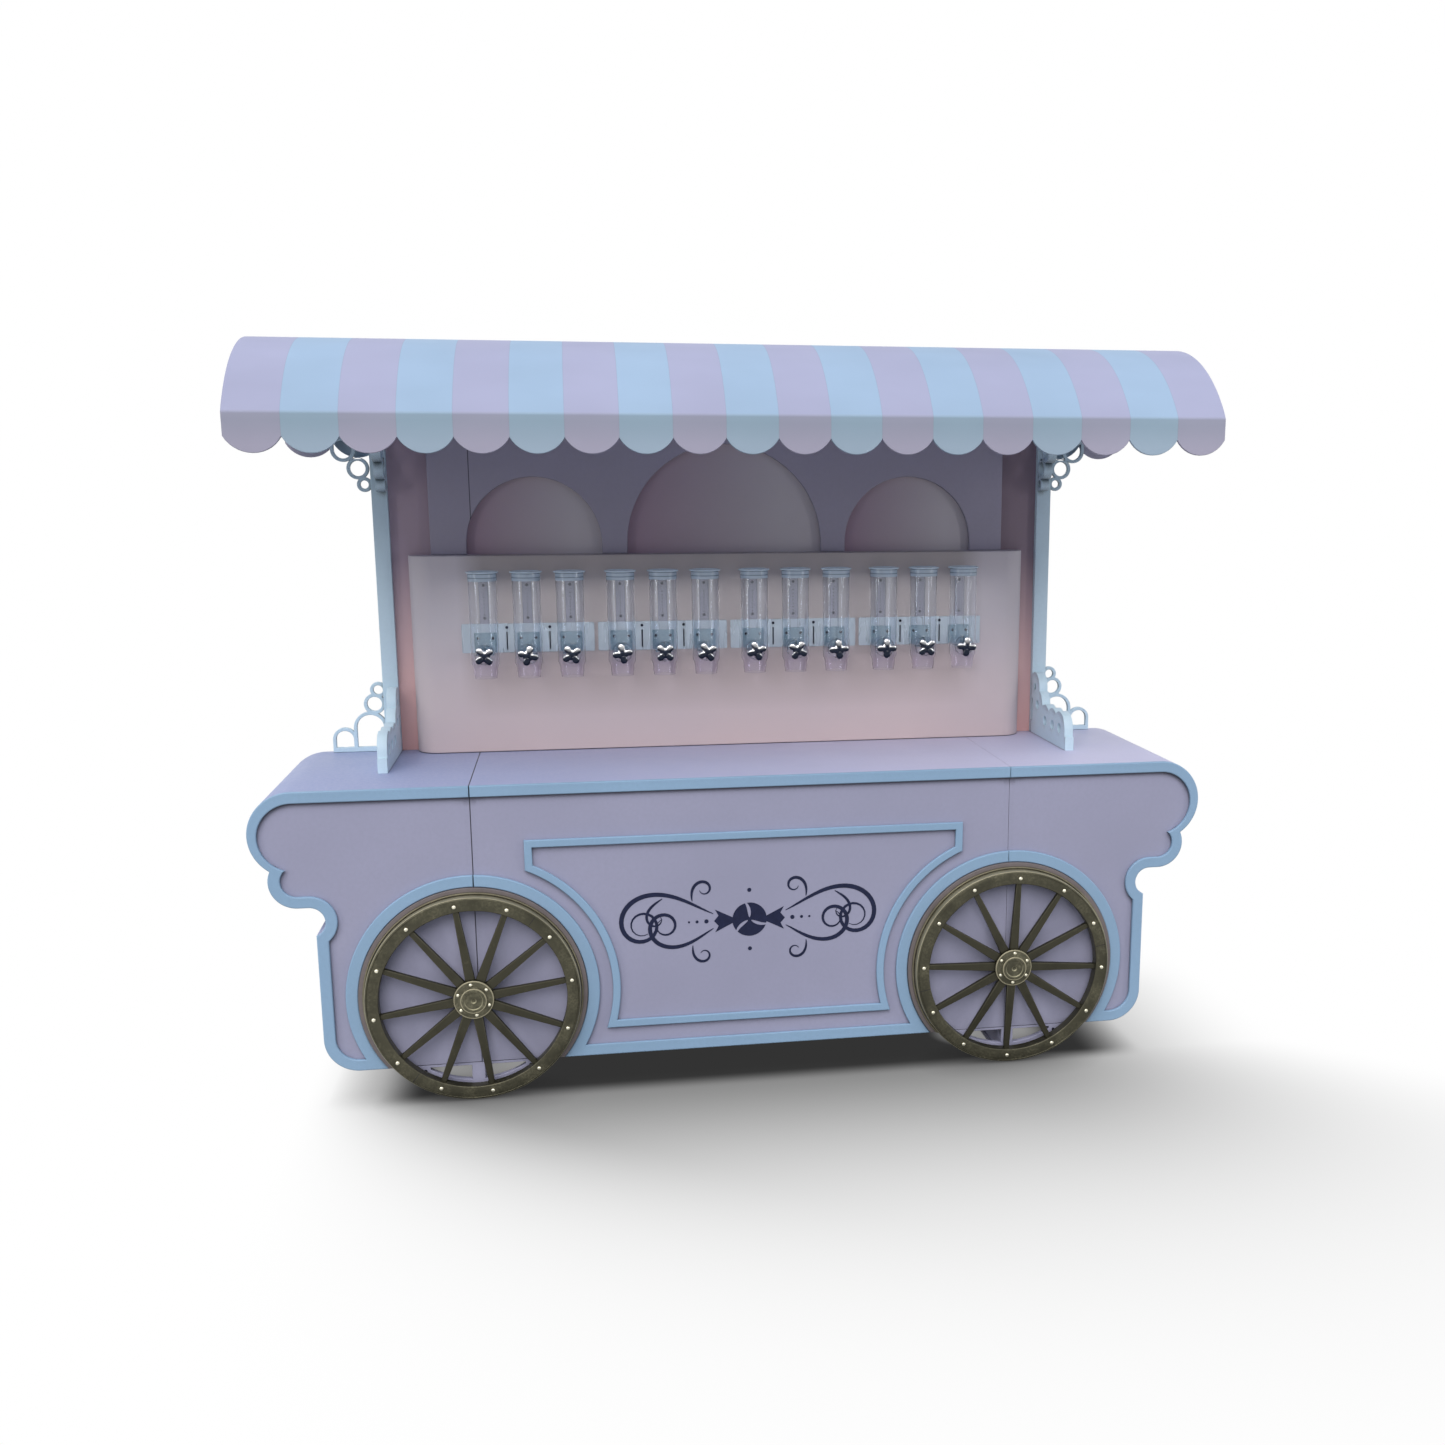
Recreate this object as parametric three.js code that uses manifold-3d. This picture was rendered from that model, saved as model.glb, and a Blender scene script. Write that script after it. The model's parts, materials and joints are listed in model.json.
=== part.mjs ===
// Candy buffet cart: a free-standing counter with a lobed front, two spoked wheels,
// a wall of twelve gravity sweet dispensers and a striped barrel canopy with scalloped skirts.
// Millimetres, +Z up. The cart faces -Y, stands on Z = 0 and is centred on X = 0 and Y = 0.

import * as THREE from 'three';
import { mergeVertices } from 'three/addons/utils/BufferGeometryUtils.js';
import Module from 'manifold-3d';

const wasm = await Module();
wasm.setup();

// Clearances and cutting
const seat = 0.3; // gap between pieces that touch
const overrun = 5; // how far a cut runs past the face that it opens
const bite = 1; // how far joined solids run into each other
const quarter = Math.PI / 2;
const fullTurn = 2 * Math.PI;

// Counter body, measured from the front face of its trim
const aboveArches = 253; // counter top above the arch trim
const counterDepth = 600;
const baseHeight = 95; // underside of the body above the floor
const boardThickness = 18; // skin, fascia and wall boards
const moduleHalf = 771; // half width of the middle module
const endModuleWidth = 425; // under its lobes
const moduleSeam = 1;

// Lobed ends of the body
const bigLobeRadius = 120;
const smallLobeRadius = 75;
const lobeReach = 43; // lobe centres past the side
const coveRadius = 42;
const coveReach = 16; // cove centre past the side
const footRadius = 95; // round lower corner
const lobeDropShare = 0.942; // lobe centres apart, of the two inner radii

// Trim and frame on the front
const trimThickness = 12;
const trimWidth = 32;
const lobeTrimWidth = 25;
const archTrimWidth = 34;
const archGap = 19; // between a wheel and its arch
const frameWidth = 22;
const frameSeamGap = 141; // frame's end short of the module seam
const frameTopGap = 160; // below the counter top
const frameBottomGap = 80; // above the body's underside
const frameArchGap = 37; // frame's hollow side past the arch trim

// Wheels and their axles
const wheelPastSeam = 11; // wheel centre past the module seam
const wheelRadius = 296;
const wheelLift = 2; // wheel clear of the floor
const rimWidth = 39;
const rimDepth = 34;
const rimOffset = 39; // rim face in front of the trim face
const spokeCount = 12;
const spokeRootWidth = 28;
const spokeTipWidth = 16;
const spokeThickness = 15;
const spokeOffset = 31; // spoke face in front of the trim face
const spokeBite = 6; // spoke let into hub and rim
const spokeTurns = { left: THREE.MathUtils.degToRad(8.6), right: THREE.MathUtils.degToRad(-3) };
const hubRadius = 46;
const flangeRadius = 55;
const flangeThickness = 7;
const hubCapRadius = 36;
const hubCapHeight = 10;
const boltRadius = 6;
const hubBoltRadius = 5;
const boltHeight = 4;
const rimBoltInset = 19;
const hubBoltInset = 10;
const hubBoltCount = 6;
const axleRadius = 12;
const axleLength = 38; // in front of its flange
const axleFlangeRadius = 40;
const axleFlangeThickness = 4;

// Floor skids under the wheels
const skidBoardInset = 10; // round edge inside the wheel's own
const skidBoardWall = 30; // left under a window
const skidStrut = 36;
const skidEdge = 7; // board left above a window
const skidWindowHalf = 97;
const skidFootWidth = 110;
const skidFootHeight = 12;

// Wall, arch panel and dispenser box
const wallInset = 186; // wall's end short of the body's side
const archPanelInset = 117; // panel's end short of the wall's
const boxHeight = 600;
const boxInset = 50; // box's end short of the wall's
const boxDepth = 82;
const boxEndFlat = 12; // straight part of the box's ends, behind the round
const boxBoard = 12;
const nicheHalf = 203.5;
const nicheMargin = 106; // from a side niche to the panel's end
const nichePier = 77.5; // between the niches
const nicheSpring = 29; // straight part of a niche
const nicheHeadroom = 38.5; // panel above its tallest niche

// Posts and their brackets
const postWidth = 46;
const postDepth = 36;
const postDrop = 39; // post top below the canopy's fold
const ringWall = 10;
const outerBracketThickness = 15;
const frontBracketThickness = 28;
const lowBracketHeight = 222;
const lowOuterReach = 158;
const lowFrontReach = 346;
const topBracketHeight = 160;
const topBracketReach = 112;
// Each ring: centre out, centre up, hole radius, as shares of reach, height and height
const lowOuterRingShares = [
  [0.1, 0.86, 0.063],
  [0.18, 0.665, 0.099],
  [0.28, 0.333, 0.18],
  [0.77, 0.18, 0.117],
];
const lowFrontRingShares = [
  [0.09, 0.7, 0.05],
  [0.18, 0.45, 0.065],
  [0.41, 0.27, 0.07],
  [0.62, 0.27, 0.07],
  [0.82, 0.27, 0.07],
];
const topRingShares = [
  [0.17, 0.875, 0.075],
  [0.32, 0.58, 0.14],
  [0.68, 0.24, 0.16],
];
const frontLobeShare = 0.125; // solid rim of a front lobe, of the bracket's height

// Canopy
const canopyOverhang = 240.75; // past the posts at each end
const stripeCount = 19;
const canopyFront = 190; // valance face in front of the trim face
const canopyBoard = 10;
const wallHeadroom = 19; // from the wall's top to the fold between roof and valance
const roofRise = 208; // crown above the fold
const cuspDrop = 60; // cusps of the valance below the fold
const scallopDrop = 42;
const endBoardDrop = 44; // end boards below the fold
const ribThickness = 28;
const ribHeight = 60;

// Dispensers
const dispenserPitch = 128;
const groupGap = 151;
const groupCount = 4;
const perGroup = 3;
const tubeRadius = 42;
const tubeWall = 2.5;
const tubeLength = 284;
const tubeGap = 10; // tube in front of the box face
const outletDrop = 362; // outlet's mouth below the box's top
const outletLength = 28;
const outletInset = 6; // outlet's wall inside the tube's
const drumInset = 12; // drum's round wall inside the tube's
const drumEndInset = 18; // drum's ends inside the tube's wall
const drumFloor = 13; // under the drum
const drumMouth = 7; // how far the tube's bore dips into the drum
const throatInset = 6; // throat from drum to outlet, inside the drum's wall
const shaftRadius = 5;
const bossRadius = 14;
const bossLength = 5;
const stripWidth = 28;
const stripThickness = 3;
const stripGap = 1; // above the group plate
const stripLength = 127;
const padHalf = 26;
const padRise = 70; // above the tube's lower end
const padHeight = 24;
const lidWall = 3.2;
const lidLip = 2.5; // flange past the skirt
const lidTop = 6; // thickness of the lid's disc
const lidFlange = 9; // height of the wide upper edge
const lidSkirt = 22;
const vaneThickness = 3;
const vaneGap = 1;
const vaneCount = 2; // plates through the shaft, two vanes each
const knobLobes = 4;
const knobLobeRadius = 11;
const knobReach = 20;
const knobHub = 14;
const knobThickness = 14;
const knobTurns = [40, 75, 35, 10, 45, 30, 20, 60, 5, 90, 42, 85].map(THREE.MathUtils.degToRad);

// Clear plates behind the canisters
const plateThickness = 5;
const plateRise = 42; // above the tubes' lower ends
const plateHeight = 88;
const plateGap = 11; // between neighbouring plates
const slotWidth = 4;
const slotHeight = 55;
const slotRise = 8;

// Facets of round shapes
const wheelFacets = 36;
const archFacets = 40;
const hubFacets = 16;
const tubeFacets = 10;
const drumFacets = 8;
const shaftFacets = 6;
const ringFacets = 8;
const boltFacets = 6;
const arcSteps = 7;
const scallopSteps = 5;
const roofSteps = 8;

// Places that follow from the sizes above
const sideX = moduleHalf + endModuleWidth;
const wheelX = moduleHalf + wheelPastSeam;
const wheelZ = wheelRadius + wheelLift;
const archInnerRadius = wheelRadius + archGap;
const archOuterRadius = archInnerRadius + archTrimWidth;
const skidBoardRadius = wheelRadius - skidBoardInset;
const skidWindowRadius = skidBoardRadius - skidBoardWall;
const counterHeight = wheelZ + archOuterRadius + aboveArches;
const frameHalf = moduleHalf - frameSeamGap;
const frameTop = counterHeight - frameTopGap;
const frameBottom = baseHeight + frameBottomGap;
const lobeX = sideX + lobeReach;
const coveX = sideX + coveReach;
const bigLobeZ = counterHeight - bigLobeRadius;
const lobeDrop = lobeDropShare * (bigLobeRadius - lobeTrimWidth + smallLobeRadius - trimWidth);
const smallLobeZ = bigLobeZ - lobeDrop;
const coveZ = smallLobeZ - smallLobeRadius - coveRadius;
const footX = sideX - footRadius;
const fasciaFront = trimThickness;
const fasciaBack = fasciaFront + boardThickness;
const wallFront = counterDepth - boardThickness;
const standing = counterHeight + seat; // lowest level of what stands on the counter
const wallHalf = sideX - wallInset;
const boxFront = wallFront - boxDepth;
const boxTop = counterHeight + boxHeight;
const boxHalf = wallHalf - boxInset;
const boxEndRadius = boxDepth - boxEndFlat;
const archPanelHalf = wallHalf - archPanelInset;
const nicheX = archPanelHalf - nicheMargin - nicheHalf;
const midNicheHalf = nicheX - nicheHalf - nichePier;
const wallTop = boxTop + nicheSpring + Math.max(nicheHalf, midNicheHalf) + nicheHeadroom;
const foldHeight = wallTop + wallHeadroom;
const crownHeight = foldHeight + roofRise;
const cuspHeight = foldHeight - cuspDrop;
const endBoardBottom = foldHeight - endBoardDrop;
const postTop = foldHeight - postDrop;
const postInner = wallHalf;
const postOuter = postInner + postWidth;
const postFront = counterDepth - postDepth;
const canopyBack = counterDepth + canopyBoard + seat;
const canopyHalf = postOuter + canopyOverhang;
const stripeWidth = (2 * canopyHalf) / stripeCount;

// Places of the dispensers
const tubeStandoff = tubeRadius + tubeGap;
const tubeY = boxFront - tubeStandoff;
const outletRadius = tubeRadius - outletInset;
const outletBottom = boxTop - outletDrop;
const tubeBottom = outletBottom + outletLength;
const tubeTop = tubeBottom + tubeLength;
const drumRadius = tubeRadius - drumInset;
const drumHalf = tubeRadius - drumEndInset;
const drumHeight = tubeBottom + drumFloor + drumRadius;
const throatRadius = drumRadius - throatInset;
const boreBottom = drumHeight + drumRadius - drumMouth;
const plateBottom = tubeBottom + plateRise;
const plateTop = plateBottom + plateHeight;
const plateMargin = (groupGap - plateGap) / 2; // past the outer canister axes
const stripBottom = plateTop + stripGap;
const stripTop = stripBottom + stripLength;
const padBottom = tubeBottom + padRise;
const padTop = padBottom + padHeight;
const lidBand = tubeRadius + seat + lidWall;
const lidRadius = lidBand + lidLip;

// Materials
const finish = (color, roughness, metalness, opacity = 1) =>
  new THREE.MeshStandardMaterial({ color, roughness, metalness, opacity, transparent: opacity < 1 });
const pinkPaint = finish(0xdcc2cf, 0.6, 0);
const bluePaint = finish(0xa9cfe6, 0.55, 0);
const palePaint = finish(0xdfeaf2, 0.55, 0);
const bronze = finish(0x6b6544, 0.45, 0.7);
const steel = finish(0x8a8d90, 0.4, 0.9);
const chrome = finish(0xe6e8ea, 0.12, 1);
const clearPlastic = finish(0xe8eef2, 0.08, 0, 0.35);
const frostedPlastic = finish(0xe6eef2, 0.4, 0, 0.6);
const lidPlastic = finish(0xd5dde3, 0.3, 0, 0.8);

const cart = new THREE.Group();

// Joining and cutting of closed meshes

function toSolid(geometry) {
  const bare = geometry.clone();
  bare.deleteAttribute('normal');
  bare.deleteAttribute('uv');
  const merged = mergeVertices(bare);
  const index = merged.index.array;
  const corners = [];
  for (let i = 0; i < index.length; i += 3) {
    const [a, b, c] = [index[i], index[i + 1], index[i + 2]];
    if (a !== b && b !== c && c !== a) corners.push(a, b, c);
  }
  const mesh = new wasm.Mesh({
    numProp: 3,
    vertProperties: new Float32Array(merged.attributes.position.array),
    triVerts: new Uint32Array(corners),
  });
  return new wasm.Manifold(mesh);
}

function toGeometry(body) {
  const mesh = body.getMesh();
  const geometry = new THREE.BufferGeometry();
  geometry.setAttribute('position', new THREE.BufferAttribute(mesh.vertProperties, 3));
  geometry.setIndex(new THREE.BufferAttribute(mesh.triVerts, 1));
  geometry.computeVertexNormals();
  return geometry;
}

const joined = (bodies) => bodies.reduce((sum, body) => sum.add(body));
const cut = (body, tools) => tools.reduce((rest, tool) => rest.subtract(tool), body);

function addPiece(name, body, material, x = 0, y = 0, z = 0) {
  const mesh = new THREE.Mesh(toGeometry(body), material);
  mesh.name = name;
  mesh.position.set(x, y, z);
  cart.add(mesh);
}

// Basic closed shapes

const alongY = new THREE.Matrix4().makeBasis(
  new THREE.Vector3(1, 0, 0),
  new THREE.Vector3(0, 0, 1),
  new THREE.Vector3(0, -1, 0),
);
const alongX = new THREE.Matrix4().makeBasis(
  new THREE.Vector3(0, 1, 0),
  new THREE.Vector3(0, 0, 1),
  new THREE.Vector3(1, 0, 0),
);

// Closed outline, always listed counterclockwise
function shapeOf(points) {
  const corners = points.map(([a, b]) => new THREE.Vector2(a, b));
  return new THREE.Shape(THREE.ShapeUtils.isClockWise(corners) ? corners.reverse() : corners);
}

const extrude = (points, depth) =>
  new THREE.ExtrudeGeometry(shapeOf(points), { depth, bevelEnabled: false });

// Outline of (x, z) points between two depths, with holes right through
function boardXZ(points, front, back, holes = []) {
  const board = toSolid(extrude(points, back - front).applyMatrix4(alongY).translate(0, back, 0));
  return cut(board, holes.map((hole) => boardXZ(hole, front - overrun, back + overrun)));
}

// Outline of (y, z) points between two places along X
function boardYZ(points, near, far) {
  return toSolid(extrude(points, far - near).applyMatrix4(alongX).translate(near, 0, 0));
}

// Outline of (x, y) points between two heights
function boardXY(points, low, high) {
  return toSolid(extrude(points, high - low).translate(0, 0, low));
}

function block(x0, x1, y0, y1, z0, z1) {
  const box = new THREE.BoxGeometry(x1 - x0, y1 - y0, z1 - z0);
  return toSolid(box.translate((x0 + x1) / 2, (y0 + y1) / 2, (z0 + z1) / 2));
}

function rodY(radius, x, z, front, back, facets) {
  const rod = new THREE.CylinderGeometry(radius, radius, back - front, facets);
  return toSolid(rod.translate(x, (front + back) / 2, z));
}

function rodZ(radius, x, y, low, high, facets) {
  const rod = new THREE.CylinderGeometry(radius, radius, high - low, facets);
  return toSolid(rod.rotateX(quarter).translate(x, y, (low + high) / 2));
}

// Points of an arc about (a, b), turning from one angle to another
function arc(a, b, radius, from, to, steps = arcSteps) {
  const points = [];
  for (let i = 0; i <= steps; i += 1) {
    const angle = from + ((to - from) * i) / steps;
    points.push([a + radius * Math.cos(angle), b + radius * Math.sin(angle)]);
  }
  return points;
}

// Radius of a faceted hole that clears a round pin
const roundPin = (radius, facets) => (radius + seat) / Math.cos(Math.PI / facets);

const rectangle = (a0, a1, b0, b1) => [[a0, b0], [a1, b0], [a1, b1], [a0, b1]];
const mirrored = (points, side) => points.map(([a, b]) => [side * a, b]);

// Lobed end of the body from the given inner edge, drawn in by an inset
function lobedEnd(innerX, inset, lobeInset, bottom) {
  const bigRadius = bigLobeRadius - lobeInset;
  const smallRadius = smallLobeRadius - inset;
  const roundCove = coveRadius + inset;
  const top = counterHeight - inset;
  const bigZ = top - bigRadius;
  const apart = bigZ - smallLobeZ;
  const notchDrop = (bigRadius ** 2 - smallRadius ** 2 + apart ** 2) / (2 * apart);
  const notchOut = Math.sqrt(bigRadius ** 2 - notchDrop ** 2);
  const side = sideX - inset;
  const coveIn = side - coveX;
  const coveEnd = fullTurn + Math.atan2(-Math.sqrt(roundCove ** 2 - coveIn ** 2), coveIn);
  return [
    [innerX, top],
    ...arc(lobeX, bigZ, bigRadius, quarter, Math.atan2(-notchDrop, notchOut), arcSteps + 2),
    ...arc(lobeX, smallLobeZ, smallRadius, Math.atan2(apart - notchDrop, notchOut), -quarter).slice(1),
    ...arc(coveX, coveZ, roundCove, quarter, coveEnd),
    ...arc(footX, baseHeight + footRadius, footRadius - inset, 0, -quarter),
    [footX, bottom],
    [innerX, bottom],
  ].filter(([x, z], i, all) => !i || Math.hypot(x - all[i - 1][0], z - all[i - 1][1]) > seat / 2);
}

// Outline of the whole front, both ends
function wholeFront(inset, lobeInset, bottom) {
  const right = lobedEnd(0, inset, lobeInset, bottom).slice(1, -1);
  return [...right, ...mirrored(right, -1).reverse()];
}

// Cabinets: open at the back, with a lip round the fascia

function addCabinets() {
  const board = boardThickness;
  const floor = baseHeight + board;
  for (const [name, side] of [['cabinet_left', -1], ['cabinet_right', 1]]) {
    const inner = moduleHalf + moduleSeam / 2;
    const hollow = mirrored(lobedEnd(inner + board, board, board, floor), side);
    const outline = mirrored(lobedEnd(inner, 0, 0, baseHeight), side);
    const shell = boardXZ(outline, fasciaFront + seat, counterDepth, [hollow]);
    const pocket = boardXZ(
      mirrored(lobedEnd(inner - overrun, board, board, baseHeight - overrun), side),
      fasciaFront - overrun,
      fasciaBack + seat,
    );
    addPiece(name, shell.subtract(pocket), pinkPaint);
  }
  const half = moduleHalf - moduleSeam / 2;
  const hollow = rectangle(board - half, half - board, floor, counterHeight - board);
  const outline = rectangle(-half, half, baseHeight, counterHeight);
  const shell = boardXZ(outline, fasciaFront + seat, counterDepth, [hollow]);
  const pocket = block(
    -half - overrun,
    half + overrun,
    fasciaFront - overrun,
    fasciaBack + seat,
    baseHeight - overrun,
    counterHeight - board,
  );
  addPiece('cabinet_centre', shell.subtract(pocket), pinkPaint);
}

// Fascia boards, let in behind the lip of each cabinet, with the axle holes

function addFascias() {
  const inset = boardThickness + seat;
  const holeRadius = roundPin(axleRadius, hubFacets);
  const holes = [-1, 1].map((side) =>
    rodY(holeRadius, side * wheelX, wheelZ, fasciaFront - overrun, fasciaBack + overrun, hubFacets),
  );
  for (const [name, side] of [['fascia_left', -1], ['fascia_right', 1]]) {
    const outline = mirrored(lobedEnd(moduleHalf + moduleSeam / 2, inset, inset, baseHeight), side);
    addPiece(name, cut(boardXZ(outline, fasciaFront, fasciaBack), holes), pinkPaint);
  }
  const half = moduleHalf - moduleSeam / 2;
  const middle = block(-half, half, fasciaFront, fasciaBack, baseHeight, counterHeight - inset);
  addPiece('fascia_centre', cut(middle, holes), pinkPaint);
}

// Blue trim: the whole outline with both wheel arches

function addOutlineTrim() {
  const back = trimThickness - seat;
  const plate = boardXZ(wholeFront(0, 0, baseHeight), 0, back);
  const fieldOutline = wholeFront(trimWidth, lobeTrimWidth, baseHeight + trimWidth);
  const field = boardXZ(fieldOutline, -overrun, back + overrun);
  const past = 2 * overrun;
  const archDiscs = (radius) =>
    [-1, 1].map((side) => rodY(radius, side * wheelX, wheelZ, -past, back + past, archFacets));
  const pocket = cut(field, archDiscs(archOuterRadius));
  addPiece('outline_trim', cut(plate, [pocket, ...archDiscs(archInnerRadius)]), bluePaint);
}

// Raised frame in the middle of the front, hollowed at its sides round the arches

function frameOutline(inset) {
  const half = frameHalf - inset;
  const bottom = frameBottom + inset;
  const radius = archOuterRadius + frameArchGap + inset;
  const atSide = Math.atan2(Math.sqrt(radius ** 2 - (wheelX - half) ** 2), half - wheelX);
  const along = -Math.sqrt(radius ** 2 - (wheelZ - bottom) ** 2);
  const atBottom = fullTurn + Math.atan2(bottom - wheelZ, along);
  const hollow = arc(wheelX, wheelZ, radius, atSide, atBottom, arcSteps + 2);
  const right = [[half, frameTop - inset], ...hollow];
  return [...right, ...mirrored(right, -1).reverse()];
}

function addCentreFrame() {
  const back = trimThickness - seat;
  addPiece('centre_frame', boardXZ(frameOutline(0), 0, back, [frameOutline(frameWidth)]), bluePaint);
}

// Floor skids: a segment board with two windows in the fascia's plane and a beam to the back

function addSkids() {
  const top = baseHeight - seat;
  const front = fasciaFront + seat;
  for (const [name, side] of [['skid_left', -1], ['skid_right', 1]]) {
    const x = side * wheelX;
    const rise = wheelZ - top;
    const chord = Math.acos(rise / skidBoardRadius);
    const segment = arc(0, wheelZ, skidBoardRadius, -quarter - chord, chord - quarter, arcSteps * 2);
    const windowTop = top - skidEdge;
    const corner = Math.sqrt(skidWindowRadius ** 2 - (wheelZ - windowTop) ** 2);
    const reach = Math.min(skidWindowHalf, corner);
    const outer = Math.acos(reach / skidWindowRadius);
    const inner = Math.acos(skidStrut / 2 / skidWindowRadius);
    const window = [
      [skidStrut / 2, windowTop],
      ...arc(0, wheelZ, skidWindowRadius, -inner, -outer, arcSteps),
      [reach, windowTop],
    ];
    const board = boardXZ(segment, front, fasciaBack, [window, mirrored(window, -1)]);
    const web = block(-skidStrut / 2, skidStrut / 2, front, counterDepth, seat, top);
    const foot = block(-skidFootWidth / 2, skidFootWidth / 2, front, counterDepth, 0, skidFootHeight);
    addPiece(name, joined([board, web, foot]), pinkPaint, x);
  }
}

// Stub axles: a flange on the fascia, a pin through it and into the wheel hub

function addAxles() {
  const flangeBack = fasciaFront - seat;
  const flangeFront = flangeBack - axleFlangeThickness;
  for (const [name, side] of [['stub_axle_left', -1], ['stub_axle_right', 1]]) {
    const pin = rodY(axleRadius, 0, 0, flangeFront - axleLength, fasciaBack, hubFacets);
    const flange = rodY(axleFlangeRadius, 0, 0, flangeFront, flangeBack, hubFacets);
    addPiece(name, pin.add(flange), steel, side * wheelX, 0, wheelZ);
  }
}

// Wheels: rim, twelve tapered spokes, hub with flange and cap, and the bolt heads

function addWheels() {
  const rimFront = -rimOffset;
  const rimInner = wheelRadius - rimWidth;
  const flangeFront = rimFront - seat;
  const hubBack = fasciaFront - axleFlangeThickness - 2 * seat;
  const boreRadius = roundPin(axleRadius, hubFacets);
  const bore = rodY(boreRadius, 0, 0, hubBack - axleLength, 2 * overrun, hubFacets);
  for (const side of ['left', 'right']) {
    const turn = spokeTurns[side];
    const rim = boardXZ(
      arc(0, 0, wheelRadius, 0, fullTurn, wheelFacets).slice(1),
      rimFront,
      rimFront + rimDepth,
      [arc(0, 0, rimInner, 0, fullTurn, wheelFacets).slice(1)],
    );
    const pieces = [rim];
    for (let i = 0; i < spokeCount; i += 1) {
      const angle = turn + (fullTurn * i) / spokeCount;
      const [c, s] = [Math.cos(angle), Math.sin(angle)];
      const place = (r, w) => [r * c - w * s, r * s + w * c];
      const root = hubRadius - spokeBite;
      const tip = rimInner + spokeBite;
      const spoke = [
        place(root, -spokeRootWidth / 2),
        place(tip, -spokeTipWidth / 2),
        place(tip, spokeTipWidth / 2),
        place(root, spokeRootWidth / 2),
      ];
      pieces.push(boardXZ(spoke, -spokeOffset, spokeThickness - spokeOffset));
      const [x, z] = place(wheelRadius - rimBoltInset, 0);
      pieces.push(rodY(boltRadius, x, z, rimFront - boltHeight, rimFront + boltHeight, boltFacets));
    }
    pieces.push(rodY(hubRadius, 0, 0, flangeFront, hubBack, hubFacets));
    pieces.push(rodY(flangeRadius, 0, 0, flangeFront, flangeFront + flangeThickness, hubFacets));
    pieces.push(rodY(hubCapRadius, 0, 0, flangeFront - hubCapHeight, flangeFront + seat, hubFacets));
    for (let i = 0; i < hubBoltCount; i += 1) {
      const angle = turn + quarter + (fullTurn * i) / hubBoltCount;
      const ring = flangeRadius - hubBoltInset;
      const [x, z] = [ring * Math.cos(angle), ring * Math.sin(angle)];
      const [boltFront, boltBack] = [flangeFront - boltHeight, flangeFront + boltHeight];
      pieces.push(rodY(hubBoltRadius, x, z, boltFront, boltBack, boltFacets));
    }
    const centre = side === 'left' ? -wheelX : wheelX;
    addPiece(`wheel_${side}`, joined(pieces).subtract(bore), bronze, centre, 0, wheelZ);
  }
}

// Back wall, arch panel with three niches, and the dispenser box with round ends

function nicheOutline(x, half) {
  const bottom = boxTop - overrun;
  const top = arc(x, boxTop + nicheSpring, half, 0, Math.PI, arcSteps * 2);
  return [[x + half, bottom], ...top, [x - half, bottom]];
}

function addWalls() {
  const wall = block(-wallHalf + seat, wallHalf - seat, wallFront, counterDepth, standing, wallTop);
  addPiece('back_wall', wall, pinkPaint);
  const panelFront = wallFront - boardThickness;
  const back = wallFront - seat;
  const panelBottom = boxTop + seat;
  const panel = block(-archPanelHalf, archPanelHalf, panelFront, back, panelBottom, wallTop);
  const places = [[-nicheX, nicheHalf], [0, midNicheHalf], [nicheX, nicheHalf]];
  const niches = places.map(([x, half]) =>
    boardXZ(nicheOutline(x, half), panelFront - overrun, wallFront + overrun),
  );
  addPiece('arch_panel', cut(panel, niches), pinkPaint);

  const plan = (inset) => {
    const radius = boxEndRadius - inset;
    const [x, y] = [boxHalf - boxEndRadius, boxFront + boxEndRadius];
    return [
      [inset - boxHalf, back + (inset ? overrun : 0)],
      ...arc(-x, y, radius, Math.PI, Math.PI + quarter),
      ...arc(x, y, radius, -quarter, 0),
      [boxHalf - inset, back + (inset ? overrun : 0)],
    ];
  };
  const outside = boardXY(plan(0), standing, boxTop);
  const inside = boardXY(plan(boxBoard), standing - overrun, boxTop - boxBoard);
  addPiece('dispenser_box', outside.subtract(inside), pinkPaint);
}

// Posts with ring brackets: outward and forward, at the counter and under the canopy

// Local frame: out from the post along X, up from the seat along Z, the board's thickness along Y.
// A ring that stands on the seat has a square foot.
// Its hole is an arch where the lobes are plain rings.
function ringBracket(shares, reach, height, thickness, grow) {
  const rings = shares.map(([out, up, hole]) => ({
    out: out * reach,
    up: up * height,
    hole: hole * height,
    rim: hole * height + ringWall + grow,
  }));
  const [front, back] = [-overrun, thickness + overrun];
  const sill = ringWall + ringWall / 2;
  const standingRings = rings.filter((ring) => ring.up < height / 2);
  const discs = rings.map((ring) => rodY(ring.rim, ring.out, ring.up, 0, thickness, ringFacets));
  const strip = block(-overrun, reach, 0, thickness, 0, sill + grow);
  const feet = standingRings.map((ring) =>
    block(ring.out - ring.rim, ring.out + ring.rim, 0, thickness, 0, ring.up),
  );
  const bores = rings.map((ring) => rodY(ring.hole, ring.out, ring.up, front, back, ringFacets));
  const arches = (grow ? [] : standingRings).map((ring) =>
    block(ring.out - ring.hole, ring.out + ring.hole, front, back, sill, ring.up),
  );
  const under = block(-reach, 2 * reach, front, back, -height, 0);
  const behind = block(-reach, -overrun, front, back, -height, 2 * height);
  return cut(joined([strip, ...discs, ...feet]), [...bores, ...arches, under, behind]);
}

// Turns a solid given in (out, depth, up) into place by a rotation about Z, a flip and a shift
function placed(body, matrix) {
  const geometry = toGeometry(body).applyMatrix4(matrix);
  if (matrix.determinant() < 0) {
    const index = geometry.index.array;
    for (let i = 0; i < index.length; i += 3) [index[i], index[i + 1]] = [index[i + 1], index[i]];
  }
  return toSolid(geometry);
}

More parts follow.
